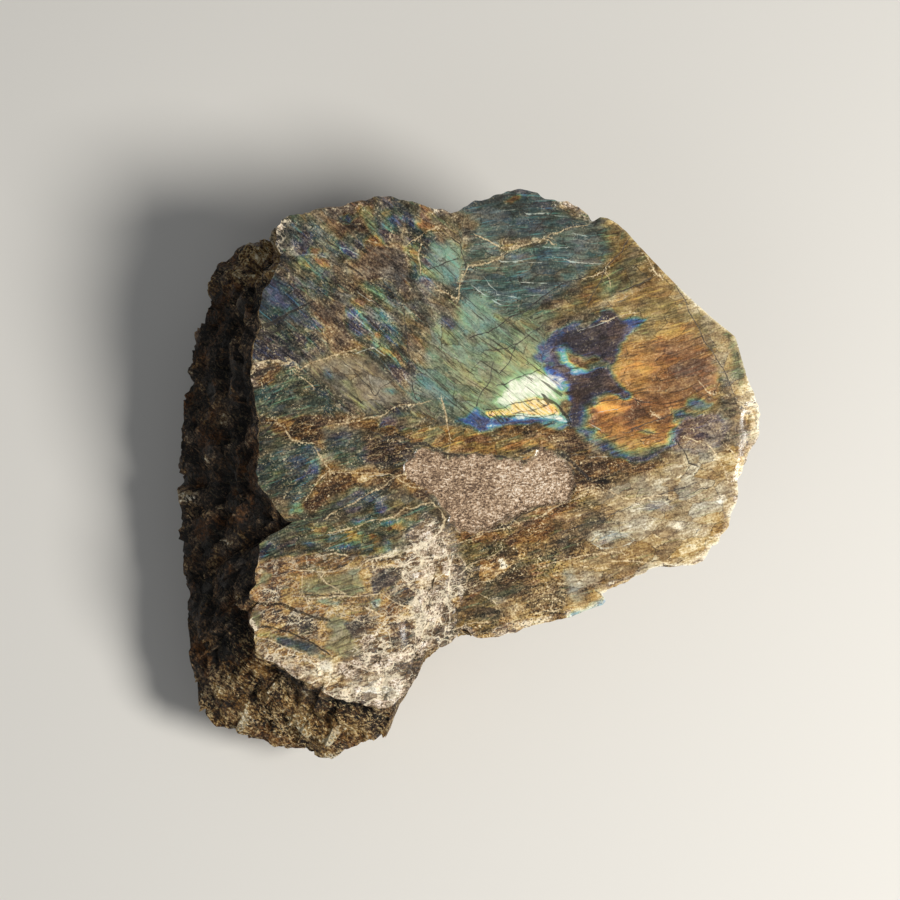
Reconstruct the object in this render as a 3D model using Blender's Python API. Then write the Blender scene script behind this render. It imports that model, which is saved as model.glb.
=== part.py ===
"""A rough labradorite chunk with one polished face, as one solid.

The stone lies on a flat cleavage face. Its polished face looks up and leans towards -Y, and the
walls round it are broken rock: a wall that bulges out on the left and at the front left, and
undercut walls everywhere else. Sizes are in millimetres until the last step. The plan is drawn
about the stone's own middle, and the last step puts the middle of the stone's box over the origin.
"""

import itertools
import math

import bmesh
import bpy
import numpy as np
from mathutils import Matrix, Vector

MILLIMETRE = 0.001

# Driving dimensions, in millimetres and degrees.
FACE_HEIGHT = 42.0  # of the polished face above the table, at the plan's centre line
FACE_LEAN = 10.0  # of the polished face towards -Y
FACE_CROWN = 1.0  # the polished face falls by this much from its middle to its rim
BOX_MIDDLE = (-1.8, 0.9)  # the middle of the stone's box, in plan
HEART = (-4.0, 3.0)  # the point in plan that every ring of the stone goes round

# The polishing wheel ran over the right rim: past this line the face falls away more steeply.
BEVEL_START = (38.0, 43.0)
BEVEL_OUTWARD = (0.85, 0.53)
BEVEL_SLOPE = 0.2

# The polished face's rim in plan, anticlockwise from its back left corner.
FACE_RIM = [
    # left side, with a deep notch and a small ledge
    (-41.2, 51.0), (-41.9, 48.0), (-40.6, 45.5), (-40.8, 43.0), (-42.0, 40.8), (-43.8, 38.5),
    (-44.8, 35.5), (-45.2, 32.5), (-44.8, 30.5), (-45.6, 28.0), (-46.2, 25.0), (-46.9, 20.6),
    (-46.3, 16.2), (-45.0, 11.0), (-45.2, 7.0), (-45.2, 3.0), (-45.8, 0.0), (-45.0, -2.6),
    (-43.4, -5.0), (-41.6, -7.6), (-39.4, -9.7), (-37.8, -10.1), (-40.2, -11.7), (-42.6, -12.8),
    (-44.8, -14.6), (-45.3, -17.5), (-46.0, -20.5), (-45.6, -22.9), (-47.2, -24.6), (-47.2, -26.1),
    (-45.2, -26.8), (-46.4, -28.0), (-46.9, -30.5), (-46.3, -33.0), (-45.9, -37.0),
    # front of the lobe
    (-43.6, -38.3), (-40.2, -40.3), (-36.4, -42.6), (-33.0, -44.6), (-30.0, -46.0), (-27.0, -47.4),
    (-23.0, -48.1), (-19.6, -48.4), (-17.2, -48.2),
    # the hollow between the lobe and the front right
    (-15.6, -46.8), (-13.6, -44.9), (-11.7, -41.8), (-10.9, -39.0), (-10.2, -36.9), (-7.0, -36.0),
    (-4.6, -35.0), (-3.5, -33.8), (-2.6, -32.4), (-1.4, -32.5), (-0.3, -33.7), (1.6, -34.3),
    # front right
    (5.0, -34.0), (10.0, -32.7), (13.0, -31.5), (16.0, -31.1), (20.0, -29.8), (25.0, -28.0),
    (27.8, -26.5), (27.1, -25.0), (29.2, -24.0), (32.4, -22.4), (35.4, -20.6), (38.0, -19.7),
    (40.5, -19.0), (43.0, -19.4), (46.0, -19.0), (48.6, -18.2), (49.3, -16.8), (49.9, -15.0),
    # right side
    (51.5, -14.2), (52.9, -12.0), (54.1, -9.5), (54.9, -6.5), (55.5, -4.0), (55.3, -1.6),
    (56.8, 1.6), (58.5, 5.2), (60.2, 8.2), (60.0, 10.4), (60.6, 12.4), (59.8, 15.2), (58.4, 18.0),
    (57.4, 20.6), (56.3, 25.0), (55.2, 28.6), (53.0, 30.3), (49.9, 32.7), (44.2, 37.7), (40.0, 41.8),
    (35.0, 46.9), (32.0, 50.2), (30.4, 51.6), (28.4, 52.8),
    # back, with a peak and a shallow dip
    (26.6, 53.1), (25.1, 52.5), (24.2, 53.9), (22.3, 55.4), (19.8, 56.7), (17.8, 56.6), (15.0, 57.1),
    (12.2, 58.2), (9.6, 58.9), (5.2, 57.6), (0.4, 56.2), (-3.2, 54.7), (-4.8, 54.1), (-7.0, 54.7),
    (-9.4, 55.0), (-12.0, 56.0), (-15.0, 56.7), (-18.0, 57.1), (-21.0, 57.3), (-24.0, 56.4),
    (-27.6, 55.5), (-31.0, 55.0), (-35.0, 54.0), (-38.6, 53.5), (-40.4, 52.6),
]

# The walls' widest ring in plan, anticlockwise from the same corner. It stands out past the rim on
# the left and at the front left, and stays inside it elsewhere.
BELLY_RING = [
    (-42.6, 53.8), (-47.2, 54.6), (-51.1, 53.4), (-55.4, 49.2), (-57.0, 42.5), (-57.2, 38.3),
    (-60.1, 31.0), (-61.5, 22.7), (-62.2, 14.4), (-63.4, 8.1), (-62.7, 0.9), (-62.9, -6.4),
    (-62.7, -13.7), (-60.9, -22.0), (-61.5, -29.3), (-61.2, -35.5), (-59.2, -42.1), (-57.8, -48.5),
    (-55.4, -51.1), (-49.1, -53.8), (-40.9, -55.1), (-36.3, -56.4), (-33.2, -57.8), (-27.6, -56.0),
    (-21.4, -53.9), (-18.3, -52.4), (-17.0, -48.8), (-14.5, -43.5), (-11.5, -37.5), (-7.5, -33.0),
    (-3.0, -30.0), (5.0, -29.5), (13.0, -27.5), (20.0, -25.0), (28.0, -20.0), (37.0, -15.5),
    (45.0, -12.5), (49.5, -5.0), (52.0, 3.0), (53.5, 11.0), (52.0, 20.0), (48.5, 27.0), (42.5, 34.0),
    (35.0, 41.5), (28.0, 48.0), (20.0, 52.5), (12.0, 55.0), (4.0, 54.5), (-4.0, 52.5), (-12.0, 54.0),
    (-22.0, 55.5), (-32.0, 55.0),
]

# The foot of the walls in plan, anticlockwise from the left.
FOOT_RING = [
    (-55.0, 32.0), (-57.0, 12.0), (-56.0, -10.0), (-53.0, -30.0), (-47.0, -43.0), (-34.0, -47.0),
    (-24.0, -42.0), (-13.0, -28.0), (5.0, -22.0), (23.0, -16.0), (37.0, -6.0), (43.0, 8.0),
    (41.0, 23.0), (31.0, 37.0), (15.0, 47.0), (-5.0, 48.0), (-26.0, 50.0), (-43.0, 47.0),
]

# How far below the rim the walls are widest, by bearing round the heart in degrees.
BELLY_DROP = [(-180, 24.0), (-125, 17.0), (-90, 13.0), (-45, 11.0), (0, 12.0), (45, 16.0),
              (90, 20.0), (135, 22.0), (180, 24.0)]

# The walls' rings: how far each is from the rim (0) by way of the belly (1) to the foot (2).
WALL_RINGS = (
    0.05, 0.14, 0.24, 0.35, 0.46, 0.58, 0.7, 0.85, 1.0, 1.1, 1.2, 1.3, 1.4, 1.5, 1.6, 1.7, 1.85, 2.0
)
FOOT_BELOW_TABLE = 10.0  # the walls run on below the table, and the flat base cuts them off there
BELLY_HOLLOW = 0.35  # how much the wall hangs back between rim and belly before it bulges
FACE_RINGS = (0.97, 0.86, 0.68, 0.45, 0.2)  # rings across the polished face, as shares of the way out

# Broken rock: lumps that fade out towards the rim, and cleavage steps.
LUMPS = [(19.0, 2.4, 11), (8.0, 1.4, 23), (4.5, 0.7, 31)]  # size, how far it stands out, seed
LUMP_FADE = 5.0  # depth below the rim over which the lumps grow to their full size
STEP_NORMAL = (0.18, -0.12, 0.98)  # of the cleavage planes that the walls step along
STEP_PITCH = 8.5  # between one step and the next
STEP_DEPTH = 2.2
BELLY_CALM = 0.35  # share of the lumps left at the widest ring, whose own outline has them

# Flat breaks across the walls: a point on each, in plan and height, and its outward direction.
# A break takes off most of what stands out past it, and leaves its surface a little uneven.
BREAK_SHARE = 0.85
BREAKS = [
    ((-59.5, -4.0, 9.0), (-0.86, -0.10, -0.50)),  # left foot
    ((-52.0, 46.0, 14.0), (-0.62, 0.66, -0.42)),  # back left corner
    ((-50.0, -47.0, 6.0), (-0.42, -0.72, -0.55)),  # front left foot
    ((-24.0, -49.0, 6.0), (0.30, -0.80, -0.52)),  # under the lobe
    ((45.0, -4.0, 14.0), (0.72, -0.36, -0.59)),  # right front
    ((46.0, 20.0, 16.0), (0.78, 0.16, -0.60)),  # right
    ((26.0, 46.0, 18.0), (0.42, 0.72, -0.55)),  # back right
    ((-14.0, 53.2, 20.0), (-0.06, 0.96, -0.28)),  # back
]

# The dull hollow that the polish didn't reach, in plan, and how deep it is.
HOLLOW_RIM = [
    (-14.0, 1.0), (-12.5, 4.0), (-10.8, 5.3), (-7.2, 3.8), (-5.0, 3.2), (0.0, 3.4), (8.0, 2.7),
    (11.5, 2.2), (14.5, 4.9), (16.5, 4.7), (18.5, 3.2), (21.0, -0.5), (21.3, -3.2), (20.0, -5.5),
    (14.5, -6.8), (8.0, -9.5), (4.0, -11.7), (-2.5, -12.4), (-4.7, -10.0), (-6.8, -6.0),
    (-10.0, -3.2), (-13.6, -0.8),
]
HOLLOW_DEPTH = 1.1

# Chips broken off the polished face's rim: outline in plan, and depth below the face.
CHIPS = [
    ([(16.5, 60.0), (17.8, 55.0), (21.5, 52.6), (25.6, 51.4), (28.0, 56.0)], 2.0),  # back right
    ([(-45.0, 53.0), (-45.0, 44.0), (-40.2, 44.6), (-38.8, 48.0), (-39.6, 51.6)], 1.6),  # back left
    ([(56.5, 14.0), (55.8, 5.0), (53.0, -2.0), (60.0, -4.0), (64.0, 6.0), (63.0, 17.0)], 1.4),  # right
]
CUTTER_TOP = 20.0  # how far a cutter stands above the face

STONE_COLOUR = (0.16, 0.15, 0.12, 1.0)
STONE_ROUGHNESS = 0.45


def face_height(x, y):
    """Height of the polished face over plan points: a leaning plane, less the crown and the bevel."""
    out = np.hypot(x - HEART[0], y - HEART[1]) / 60.0
    past = (x - BEVEL_START[0]) * BEVEL_OUTWARD[0] + (y - BEVEL_START[1]) * BEVEL_OUTWARD[1]
    plane = FACE_HEIGHT + math.tan(math.radians(FACE_LEAN)) * y
    return plane - FACE_CROWN * out**2 - BEVEL_SLOPE * np.maximum(past, 0.0)


def noise(points, cell, seed):
    """Smooth noise from -1 to 1: a random value at each corner of a cubic lattice, blended between."""
    places = points / cell + seed * 7.31
    low = np.floor(places).astype(np.int64)
    share = places - low
    share = share * share * (3.0 - 2.0 * share)
    total = np.zeros(len(points))
    for corner in itertools.product((0, 1), repeat=3):
        at = low + np.array(corner)
        mixed = (at[:, 0] * 73856093) ^ (at[:, 1] * 19349663) ^ (at[:, 2] * 83492791) ^ seed
        mixed = ((mixed & 0xFFFFFF) * 1274126177) & 0xFFFFFFFF
        value = (mixed >> 8 & 0xFFFF) / 0x7FFF - 1.0
        total += value * np.prod(np.where(corner, share, 1.0 - share), axis=1)
    return total


def radius_at(ring, bearing):
    """Distance from the heart to a ring at each bearing, straight from point to point of the ring."""
    offsets = np.array(ring) - HEART
    angles = np.arctan2(offsets[:, 1], offsets[:, 0])
    order = np.argsort(angles)
    return np.interp(bearing, angles[order], np.hypot(*offsets[order].T), period=2.0 * math.pi)


def wall_ring(way):
    """Points of one ring of the walls. way goes from 0 at the rim by 1 at the belly to 2 at the foot."""
    rim = np.array(FACE_RIM)
    bearing = np.arctan2(rim[:, 1] - HEART[1], rim[:, 0] - HEART[0])
    rim_height = face_height(rim[:, 0], rim[:, 1])
    rim_radius = np.hypot(*(rim - HEART).T)
    belly_radius = radius_at(BELLY_RING, bearing)
    belly_drop = np.interp(np.degrees(bearing), *np.array(BELLY_DROP).T)
    if way <= 1.0:
        reach = way - BELLY_HOLLOW * way * (1.0 - way) * (belly_radius > rim_radius)
        radius = rim_radius + (belly_radius - rim_radius) * reach
        height = rim_height - belly_drop * way
    else:
        share = way - 1.0
        radius = belly_radius + (radius_at(FOOT_RING, bearing) - belly_radius) * share**1.4
        height = (rim_height - belly_drop) * (1.0 - share) - FOOT_BELOW_TABLE * share
    spokes = np.stack([np.cos(bearing), np.sin(bearing)], axis=1)
    points = np.column_stack([HEART + spokes * radius[:, None], height])
    calm = BELLY_CALM + (1.0 - BELLY_CALM) * min(1.0, abs(way - 1.0) / 0.3)
    points[:, :2] += spokes * rock(points, rim_height - height)[:, None] * calm
    return break_flat(points)


def rock(points, depth):
    """How far broken rock stands out from the walls: lumps, and steps that rise slowly and drop at once."""
    grown = np.clip(depth / LUMP_FADE, 0.0, 1.0)
    lumps = sum(size * noise(points, cell, seed) for cell, size, seed in LUMPS)
    along = points @ np.array(STEP_NORMAL) / STEP_PITCH + 0.35 * noise(points, 21.0, 5)
    return grown * (lumps + STEP_DEPTH * (along - np.floor(along) - 0.5))


def break_flat(points):
    """Pushes what stands out past each flat break back towards it."""
    for place, outward in BREAKS:
        direction = np.array(outward) / np.linalg.norm(outward)
        past = np.maximum((points - place) @ direction, 0.0)
        points = points - BREAK_SHARE * past[:, None] * direction
    return points


def extrude_ring(stone, ring, places):
    """Extrudes a closed ring of vertices, moves the new ring to its places, and returns it in order."""
    edges = [stone.edges.get((ring[i - 1], ring[i])) for i in range(len(ring))]
    made = set(bmesh.ops.extrude_edge_only(stone, edges=edges)["geom"])
    grown = [next(e.other_vert(v) for e in v.link_edges if e.other_vert(v) in made) for v in ring]
    for vertex, place in zip(grown, places):
        vertex.co = place
    return grown


def face_ring(share):
    """Points of one ring of the polished face, at a share of the way from the heart to the rim."""
    plan = HEART + (np.array(FACE_RIM) - HEART) * share
    return np.column_stack([plan, face_height(plan[:, 0], plan[:, 1])])


def model_stone():
    """The whole stone before it is cut: rings down the walls and across the face, each end filled."""
    stone = bmesh.new()
    rim = [stone.verts.new(place) for place in face_ring(1.0)]
    for i in range(len(rim)):
        stone.edges.new((rim[i - 1], rim[i]))
    for places, count in ((map(wall_ring, WALL_RINGS), 1), (map(face_ring, FACE_RINGS), 2)):
        ring = rim
        for ring_places in places:
            ring = extrude_ring(stone, ring, ring_places)
        stone.faces.new(ring)
    bmesh.ops.recalc_face_normals(stone, faces=stone.faces)
    return stone


def cut_base(stone):
    """Cuts the stone off flat at the table, and fills the cut."""
    everything = stone.verts[:] + stone.edges[:] + stone.faces[:]
    cut = bmesh.ops.bisect_plane(
        stone, geom=everything, plane_co=(0, 0, 0), plane_no=(0, 0, -1), clear_outer=True
    )
    edges = [part for part in cut["geom_cut"] if isinstance(part, bmesh.types.BMEdge)]
    bmesh.ops.edgeloop_fill(stone, edges=edges)
    bmesh.ops.recalc_face_normals(stone, faces=stone.faces)
    bmesh.ops.triangulate(stone, faces=stone.faces)


def add_object(name, modelled):
    """Places a model that is in millimetres about the stone's middle, and makes it an object in metres."""
    modelled.transform(
        Matrix.Scale(MILLIMETRE, 4) @ Matrix.Translation((-BOX_MIDDLE[0], -BOX_MIDDLE[1], 0.0))
    )
    mesh = bpy.data.meshes.new(name)
    modelled.to_mesh(mesh)
    modelled.free()
    made = bpy.data.objects.new(name, mesh)
    bpy.context.scene.collection.objects.link(made)
    return made


def cut_into_face(stone, name, outline, depth):
    """Cuts a flat-bottomed hollow into the polished face with a Boolean. Its floor follows the face's lean."""
    cutter = bmesh.new()
    lean = math.tan(math.radians(FACE_LEAN))
    middle = np.mean(outline, axis=0)
    floor = float(face_height(*middle)) - depth
    rim = [cutter.verts.new((x, y, floor + lean * (y - middle[1]))) for x, y in outline]
    bottom = cutter.faces.new(rim)
    raised = bmesh.ops.extrude_face_region(cutter, geom=[bottom])["geom"]
    corners = [part for part in raised if isinstance(part, bmesh.types.BMVert)]
    bmesh.ops.translate(cutter, verts=corners, vec=Vector((0, 0, CUTTER_TOP)))
    bmesh.ops.recalc_face_normals(cutter, faces=cutter.faces)
    tool = add_object(name, cutter)
    tool.hide_render = True
    tool.display_type = "WIRE"
    cut = stone.modifiers.new(name, "BOOLEAN")
    cut.operation = "DIFFERENCE"
    cut.solver = "EXACT"
    cut.object = tool


def stone_material():
    """Dark olive-grey feldspar with a soft polish."""
    material = bpy.data.materials.new("labradorite")
    material.use_nodes = True
    shader = material.node_tree.nodes["Principled BSDF"]
    shader.inputs["Base Color"].default_value = STONE_COLOUR
    shader.inputs["Roughness"].default_value = STONE_ROUGHNESS
    shader.inputs["Metallic"].default_value = 0.0
    return material


def main():
    for old in list(bpy.data.objects):
        bpy.data.objects.remove(old)
    modelled = model_stone()
    cut_base(modelled)
    stone = add_object("labradorite_stone", modelled)
    stone.data.materials.append(stone_material())
    cut_into_face(stone, "dull_hollow_cutter", HOLLOW_RIM, HOLLOW_DEPTH)
    for number, (outline, depth) in enumerate(CHIPS, 1):
        cut_into_face(stone, f"rim_chip_cutter_{number}", outline, depth)


main()
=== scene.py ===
import itertools
import math

import bpy
import numpy as np
from mathutils import Matrix


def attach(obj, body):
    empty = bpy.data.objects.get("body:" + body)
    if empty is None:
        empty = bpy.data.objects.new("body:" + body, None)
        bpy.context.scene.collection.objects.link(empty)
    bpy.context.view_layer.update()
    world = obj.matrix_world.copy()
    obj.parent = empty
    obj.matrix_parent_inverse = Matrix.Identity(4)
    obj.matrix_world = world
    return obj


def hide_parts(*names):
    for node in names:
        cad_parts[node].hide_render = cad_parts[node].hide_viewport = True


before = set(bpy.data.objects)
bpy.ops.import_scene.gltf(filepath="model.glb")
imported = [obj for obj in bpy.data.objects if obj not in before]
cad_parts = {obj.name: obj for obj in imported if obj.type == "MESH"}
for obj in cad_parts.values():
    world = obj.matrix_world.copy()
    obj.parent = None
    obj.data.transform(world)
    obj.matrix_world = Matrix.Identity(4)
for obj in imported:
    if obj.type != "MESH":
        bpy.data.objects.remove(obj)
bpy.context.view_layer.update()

# ---------------------------------------------------------------------------------------------
# The stone: one chunk of labradorite, a feldspar that splits along flat cleavage planes.
# It was broken out of the rock, and one side was sawn flat and polished until its flash showed.
# Outlines and sizes are in millimetres, in plan, as the solid has them.
# ---------------------------------------------------------------------------------------------
MILLIMETRE = 0.001

FACE_HEIGHT = 42.0  # of the polished face above the table, at the plan's centre line
FACE_LEAN = 10.0  # degrees, of the polished face towards -Y
FACE_CROWN = 1.0  # the polished face falls by this much from its middle to its rim
BOX_MIDDLE = np.array((-1.8, 0.9))  # the middle of the stone's box, in plan
HEART = np.array((-4.0, 3.0))  # the point in plan that every ring of the stone goes round
BEVEL_START = (38.0, 43.0)  # past the line through here the polishing wheel ran over the rim
BEVEL_OUTWARD = (0.85, 0.53)
BEVEL_SLOPE = 0.2
CROWN_RADIUS = 60.0  # out here the face has fallen by its whole crown

# The polished face's rim, anticlockwise from its back left corner.
FACE_RIM = [
    # left side, with a deep notch and a small ledge
    (-41.2, 51.0), (-41.9, 48.0), (-40.6, 45.5), (-40.8, 43.0), (-42.0, 40.8), (-43.8, 38.5),
    (-44.8, 35.5), (-45.2, 32.5), (-44.8, 30.5), (-45.6, 28.0), (-46.2, 25.0), (-46.9, 20.6),
    (-46.3, 16.2), (-45.0, 11.0), (-45.2, 7.0), (-45.2, 3.0), (-45.8, 0.0), (-45.0, -2.6),
    (-43.4, -5.0), (-41.6, -7.6), (-39.4, -9.7), (-37.8, -10.1), (-40.2, -11.7), (-42.6, -12.8),
    (-44.8, -14.6), (-45.3, -17.5), (-46.0, -20.5), (-45.6, -22.9), (-47.2, -24.6), (-47.2, -26.1),
    (-45.2, -26.8), (-46.4, -28.0), (-46.9, -30.5), (-46.3, -33.0), (-45.9, -37.0),
    # front of the lobe
    (-43.6, -38.3), (-40.2, -40.3), (-36.4, -42.6), (-33.0, -44.6), (-30.0, -46.0), (-27.0, -47.4),
    (-23.0, -48.1), (-19.6, -48.4), (-17.2, -48.2),
    # the hollow between the lobe and the front right
    (-15.6, -46.8), (-13.6, -44.9), (-11.7, -41.8), (-10.9, -39.0), (-10.2, -36.9), (-7.0, -36.0),
    (-4.6, -35.0), (-3.5, -33.8), (-2.6, -32.4), (-1.4, -32.5), (-0.3, -33.7), (1.6, -34.3),
    # front right
    (5.0, -34.0), (10.0, -32.7), (13.0, -31.5), (16.0, -31.1), (20.0, -29.8), (25.0, -28.0),
    (27.8, -26.5), (27.1, -25.0), (29.2, -24.0), (32.4, -22.4), (35.4, -20.6), (38.0, -19.7),
    (40.5, -19.0), (43.0, -19.4), (46.0, -19.0), (48.6, -18.2), (49.3, -16.8), (49.9, -15.0),
    # right side
    (51.5, -14.2), (52.9, -12.0), (54.1, -9.5), (54.9, -6.5), (55.5, -4.0), (55.3, -1.6),
    (56.8, 1.6), (58.5, 5.2), (60.2, 8.2), (60.0, 10.4), (60.6, 12.4), (59.8, 15.2), (58.4, 18.0),
    (57.4, 20.6), (56.3, 25.0), (55.2, 28.6), (53.0, 30.3), (49.9, 32.7), (44.2, 37.7), (40.0, 41.8),
    (35.0, 46.9), (32.0, 50.2), (30.4, 51.6), (28.4, 52.8),
    # back, with a peak and a shallow dip
    (26.6, 53.1), (25.1, 52.5), (24.2, 53.9), (22.3, 55.4), (19.8, 56.7), (17.8, 56.6), (15.0, 57.1),
    (12.2, 58.2), (9.6, 58.9), (5.2, 57.6), (0.4, 56.2), (-3.2, 54.7), (-4.8, 54.1), (-7.0, 54.7),
    (-9.4, 55.0), (-12.0, 56.0), (-15.0, 56.7), (-18.0, 57.1), (-21.0, 57.3), (-24.0, 56.4),
    (-27.6, 55.5), (-31.0, 55.0), (-35.0, 54.0), (-38.6, 53.5), (-40.4, 52.6),
]
STATIONS = 832  # places round the stone, about 0.45 mm apart
RIM_SMOOTH = (20.0, 62.0)  # bearings in degrees between which the rim was ground smooth
RIM_SMOOTH_FADE = 6.0  # degrees
RIM_JAGS = [(2.2, 0.35, 3), (0.9, 0.25, 4)]  # size of a jag, how far it stands out, seed
GROUND_JAG = 0.15  # share of the jags left where the rim was ground


def noise(points, cell, seed):
    """Smooth noise from -1 to 1: a random value at each corner of a lattice, blended between.

    cell is the lattice's spacing: one number, or three for a lattice that is drawn out.
    """
    places = points / np.array(cell) + seed * 7.31
    low = np.floor(places).astype(np.int64)
    share = places - low
    share = share * share * (3.0 - 2.0 * share)
    total = np.zeros(points.shape[:-1])
    for corner in itertools.product((0, 1), repeat=3):
        at = low + np.array(corner)
        mixed = (at[..., 0] * 73856093) ^ (at[..., 1] * 19349663) ^ (at[..., 2] * 83492791) ^ seed
        mixed = ((mixed & 0xFFFFFF) * 1274126177) & 0xFFFFFFFF
        value = (mixed >> 8 & 0xFFFF) / 0x7FFF - 1.0
        total += value * np.prod(np.where(corner, share, 1.0 - share), axis=-1)
    return total


def layered_noise(points, layers):
    """Sum of smooth noises. Each layer is the size of its lumps, how high they are, and a seed."""
    return sum(height * noise(points, cell, seed) for cell, height, seed in layers)


def smooth_step(low, high, value):
    """0 below low, 1 above high, and between them 3 times the square less twice the cube of the way.

    high may be the smaller one.
    """
    share = np.clip((value - low) / (high - low), 0.0, 1.0)
    return share * share * (3.0 - 2.0 * share)


def spread_along(outline, count):
    """count places spaced evenly along a closed outline that runs straight from point to point."""
    corners = np.array(outline + outline[:1])
    run = np.concatenate([[0.0], np.cumsum(np.hypot(*np.diff(corners, axis=0).T))])
    wanted = np.arange(count) * run[-1] / count
    return np.column_stack([np.interp(wanted, run, corners[:, 0]), np.interp(wanted, run, corners[:, 1])])


def radius_at(ring, bearing):
    """Distance from the heart to a ring at each bearing, straight from point to point of the ring."""
    offsets = np.array(ring) - HEART
    angles = np.arctan2(offsets[:, 1], offsets[:, 0])
    order = np.argsort(angles)
    return np.interp(bearing, angles[order], np.hypot(*offsets[order].T), period=2.0 * math.pi)


def outline_distance(plan, outlines):
    """Distance in plan to the nearest of some closed outlines, negative inside one of them.

    It is the least distance to their straight sides. A place is inside an outline where a line from
    it to the right crosses the sides an odd number of times.
    """
    nearest = np.full(plan.shape[:-1], 1e9)
    within_any = np.zeros(plan.shape[:-1], bool)
    for outline in outlines:
        within = np.zeros(plan.shape[:-1], bool)
        for start, end in zip(np.roll(outline, 1, axis=0), np.array(outline)):
            side = end - start
            reach = np.clip((plan - start) @ side / (side @ side), 0.0, 1.0)
            away = np.hypot(*np.moveaxis(plan - start - reach[..., None] * side, -1, 0))
            nearest = np.minimum(nearest, away)
            spans = (start[1] > plan[..., 1]) != (end[1] > plan[..., 1])
            if spans.any():
                crossing = start[0] + (plan[..., 1] - start[1]) * side[0] / side[1]
                within ^= spans & (plan[..., 0] < crossing)
        within_any |= within
    return np.where(within_any, -nearest, nearest)


def face_height(plan):
    """Height of the ground face over plan points: a leaning plane, less the crown and the bevel.

    The crown grows as the square of the distance from the heart, the bevel in proportion to how far
    a place is past its crease.
    """
    out = np.hypot(*np.moveaxis(plan - HEART, -1, 0)) / CROWN_RADIUS
    past = (plan - BEVEL_START) @ np.array(BEVEL_OUTWARD)
    plane = FACE_HEIGHT + math.tan(math.radians(FACE_LEAN)) * plan[..., 1]
    return plane - FACE_CROWN * out**2 - BEVEL_SLOPE * np.maximum(past, 0.0)


# The rim, a little ragged except where it was ground.
rim = spread_along(FACE_RIM, STATIONS)
spokes = (rim - HEART) / np.hypot(*(rim - HEART).T)[:, None]
bearing = np.arctan2(spokes[:, 1], spokes[:, 0])
turned = np.degrees(bearing)
past_first = smooth_step(RIM_SMOOTH[0] - RIM_SMOOTH_FADE, RIM_SMOOTH[0], turned)
before_last = smooth_step(RIM_SMOOTH[1] + RIM_SMOOTH_FADE, RIM_SMOOTH[1], turned)
ragged = 1.0 - past_first * before_last
flat_rim = np.column_stack([rim, np.zeros(STATIONS)])
jag = layered_noise(flat_rim, RIM_JAGS)
rim = rim + spokes * (jag * (GROUND_JAG + (1.0 - GROUND_JAG) * ragged))[:, None]

# The polished face: a square grid of points drawn out to the rim. Each of its square rings is the
# rim's own outline, shrunk towards the heart.
CELLS = STATIONS // 4
side = np.arange(CELLS + 1) - CELLS / 2
across, up = np.meshgrid(side, side)
ring = np.maximum(abs(across), abs(up))
step = np.select(
    [(across == ring) & (up < ring), (up == ring) & (across > -ring), (across == -ring) & (up > -ring)],
    [up + ring, 3 * ring - across, 5 * ring - up],
    7 * ring + across,
)
share = (ring / (CELLS / 2)).ravel()
turn = (step / np.maximum(8 * ring, 1)).ravel() * STATIONS
looped = np.vstack([rim, rim[:1]])
rim_there = np.column_stack([np.interp(turn, np.arange(STATIONS + 1), looped[:, a]) for a in (0, 1)])
face_plan = HEART + (rim_there - HEART) * share[:, None]

# What breaks the polish, in plan: the dull hollow that the wheel didn't reach, and chips at the rim.
HOLLOW_RIM = [
    (-14.0, 1.0), (-12.5, 4.0), (-10.8, 5.3), (-7.2, 3.8), (-5.0, 3.2), (0.0, 3.4), (8.0, 2.7),
    (11.5, 2.2), (14.5, 4.9), (16.5, 4.7), (18.5, 3.2), (21.0, -0.5), (21.3, -3.2), (20.0, -5.5),
    (14.5, -6.8), (8.0, -9.5), (4.0, -11.7), (-2.5, -12.4), (-4.7, -10.0), (-6.8, -6.0),
    (-10.0, -3.2), (-13.6, -0.8),
]
HOLLOW_DEPTH = 0.9  # below the polished face
CHIPS = [
    ([(16.5, 60.0), (17.8, 55.0), (21.5, 52.6), (25.6, 51.4), (28.0, 56.0)], 2.0),  # back right
    ([(-45.0, 53.0), (-45.0, 44.0), (-40.2, 44.6), (-38.8, 48.0), (-39.6, 51.6)], 1.6),  # back left
    ([(57.5, 14.0), (56.8, 6.0), (55.0, -2.0), (60.0, -4.0), (64.0, 6.0), (63.0, 17.0)], 0.6),  # right
    ([(19.0, -28.6), (26.0, -26.4), (28.0, -25.4), (30.0, -27.0), (20.0, -31.5)], 0.5),  # front right
    ([(-21.5, -18.0), (-16.0, -17.2), (-14.0, -15.6), (-14.2, -14.6), (-17.0, -16.0),
      (-20.6, -17.0)], 0.7),  # behind the crushed corner
]  # outline, and depth below the face
CRUSHED = [
    (-10, -9), (-6, -11), (-3.5, -15), (-2.6, -20), (-1.5, -24), (-4, -30), (-5, -36), (-10, -40),
    (-14, -50), (-34, -48), (-46, -37), (-40, -37.5), (-31, -40), (-24, -38), (-23, -33),
    (-12, -30), (-14, -24), (-16, -19), (-14, -14),
]  # the corner of the lobe where the feldspar is crushed to powder
LOBE = [
    (-50, -18), (-38, -17), (-30, -16), (-20, -17), (-10, -12), (-3, -15), (-1, -26), (-5, -38),
    (-14, -50), (-34, -48), (-50, -38),
]  # what hangs out at the front left

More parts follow.
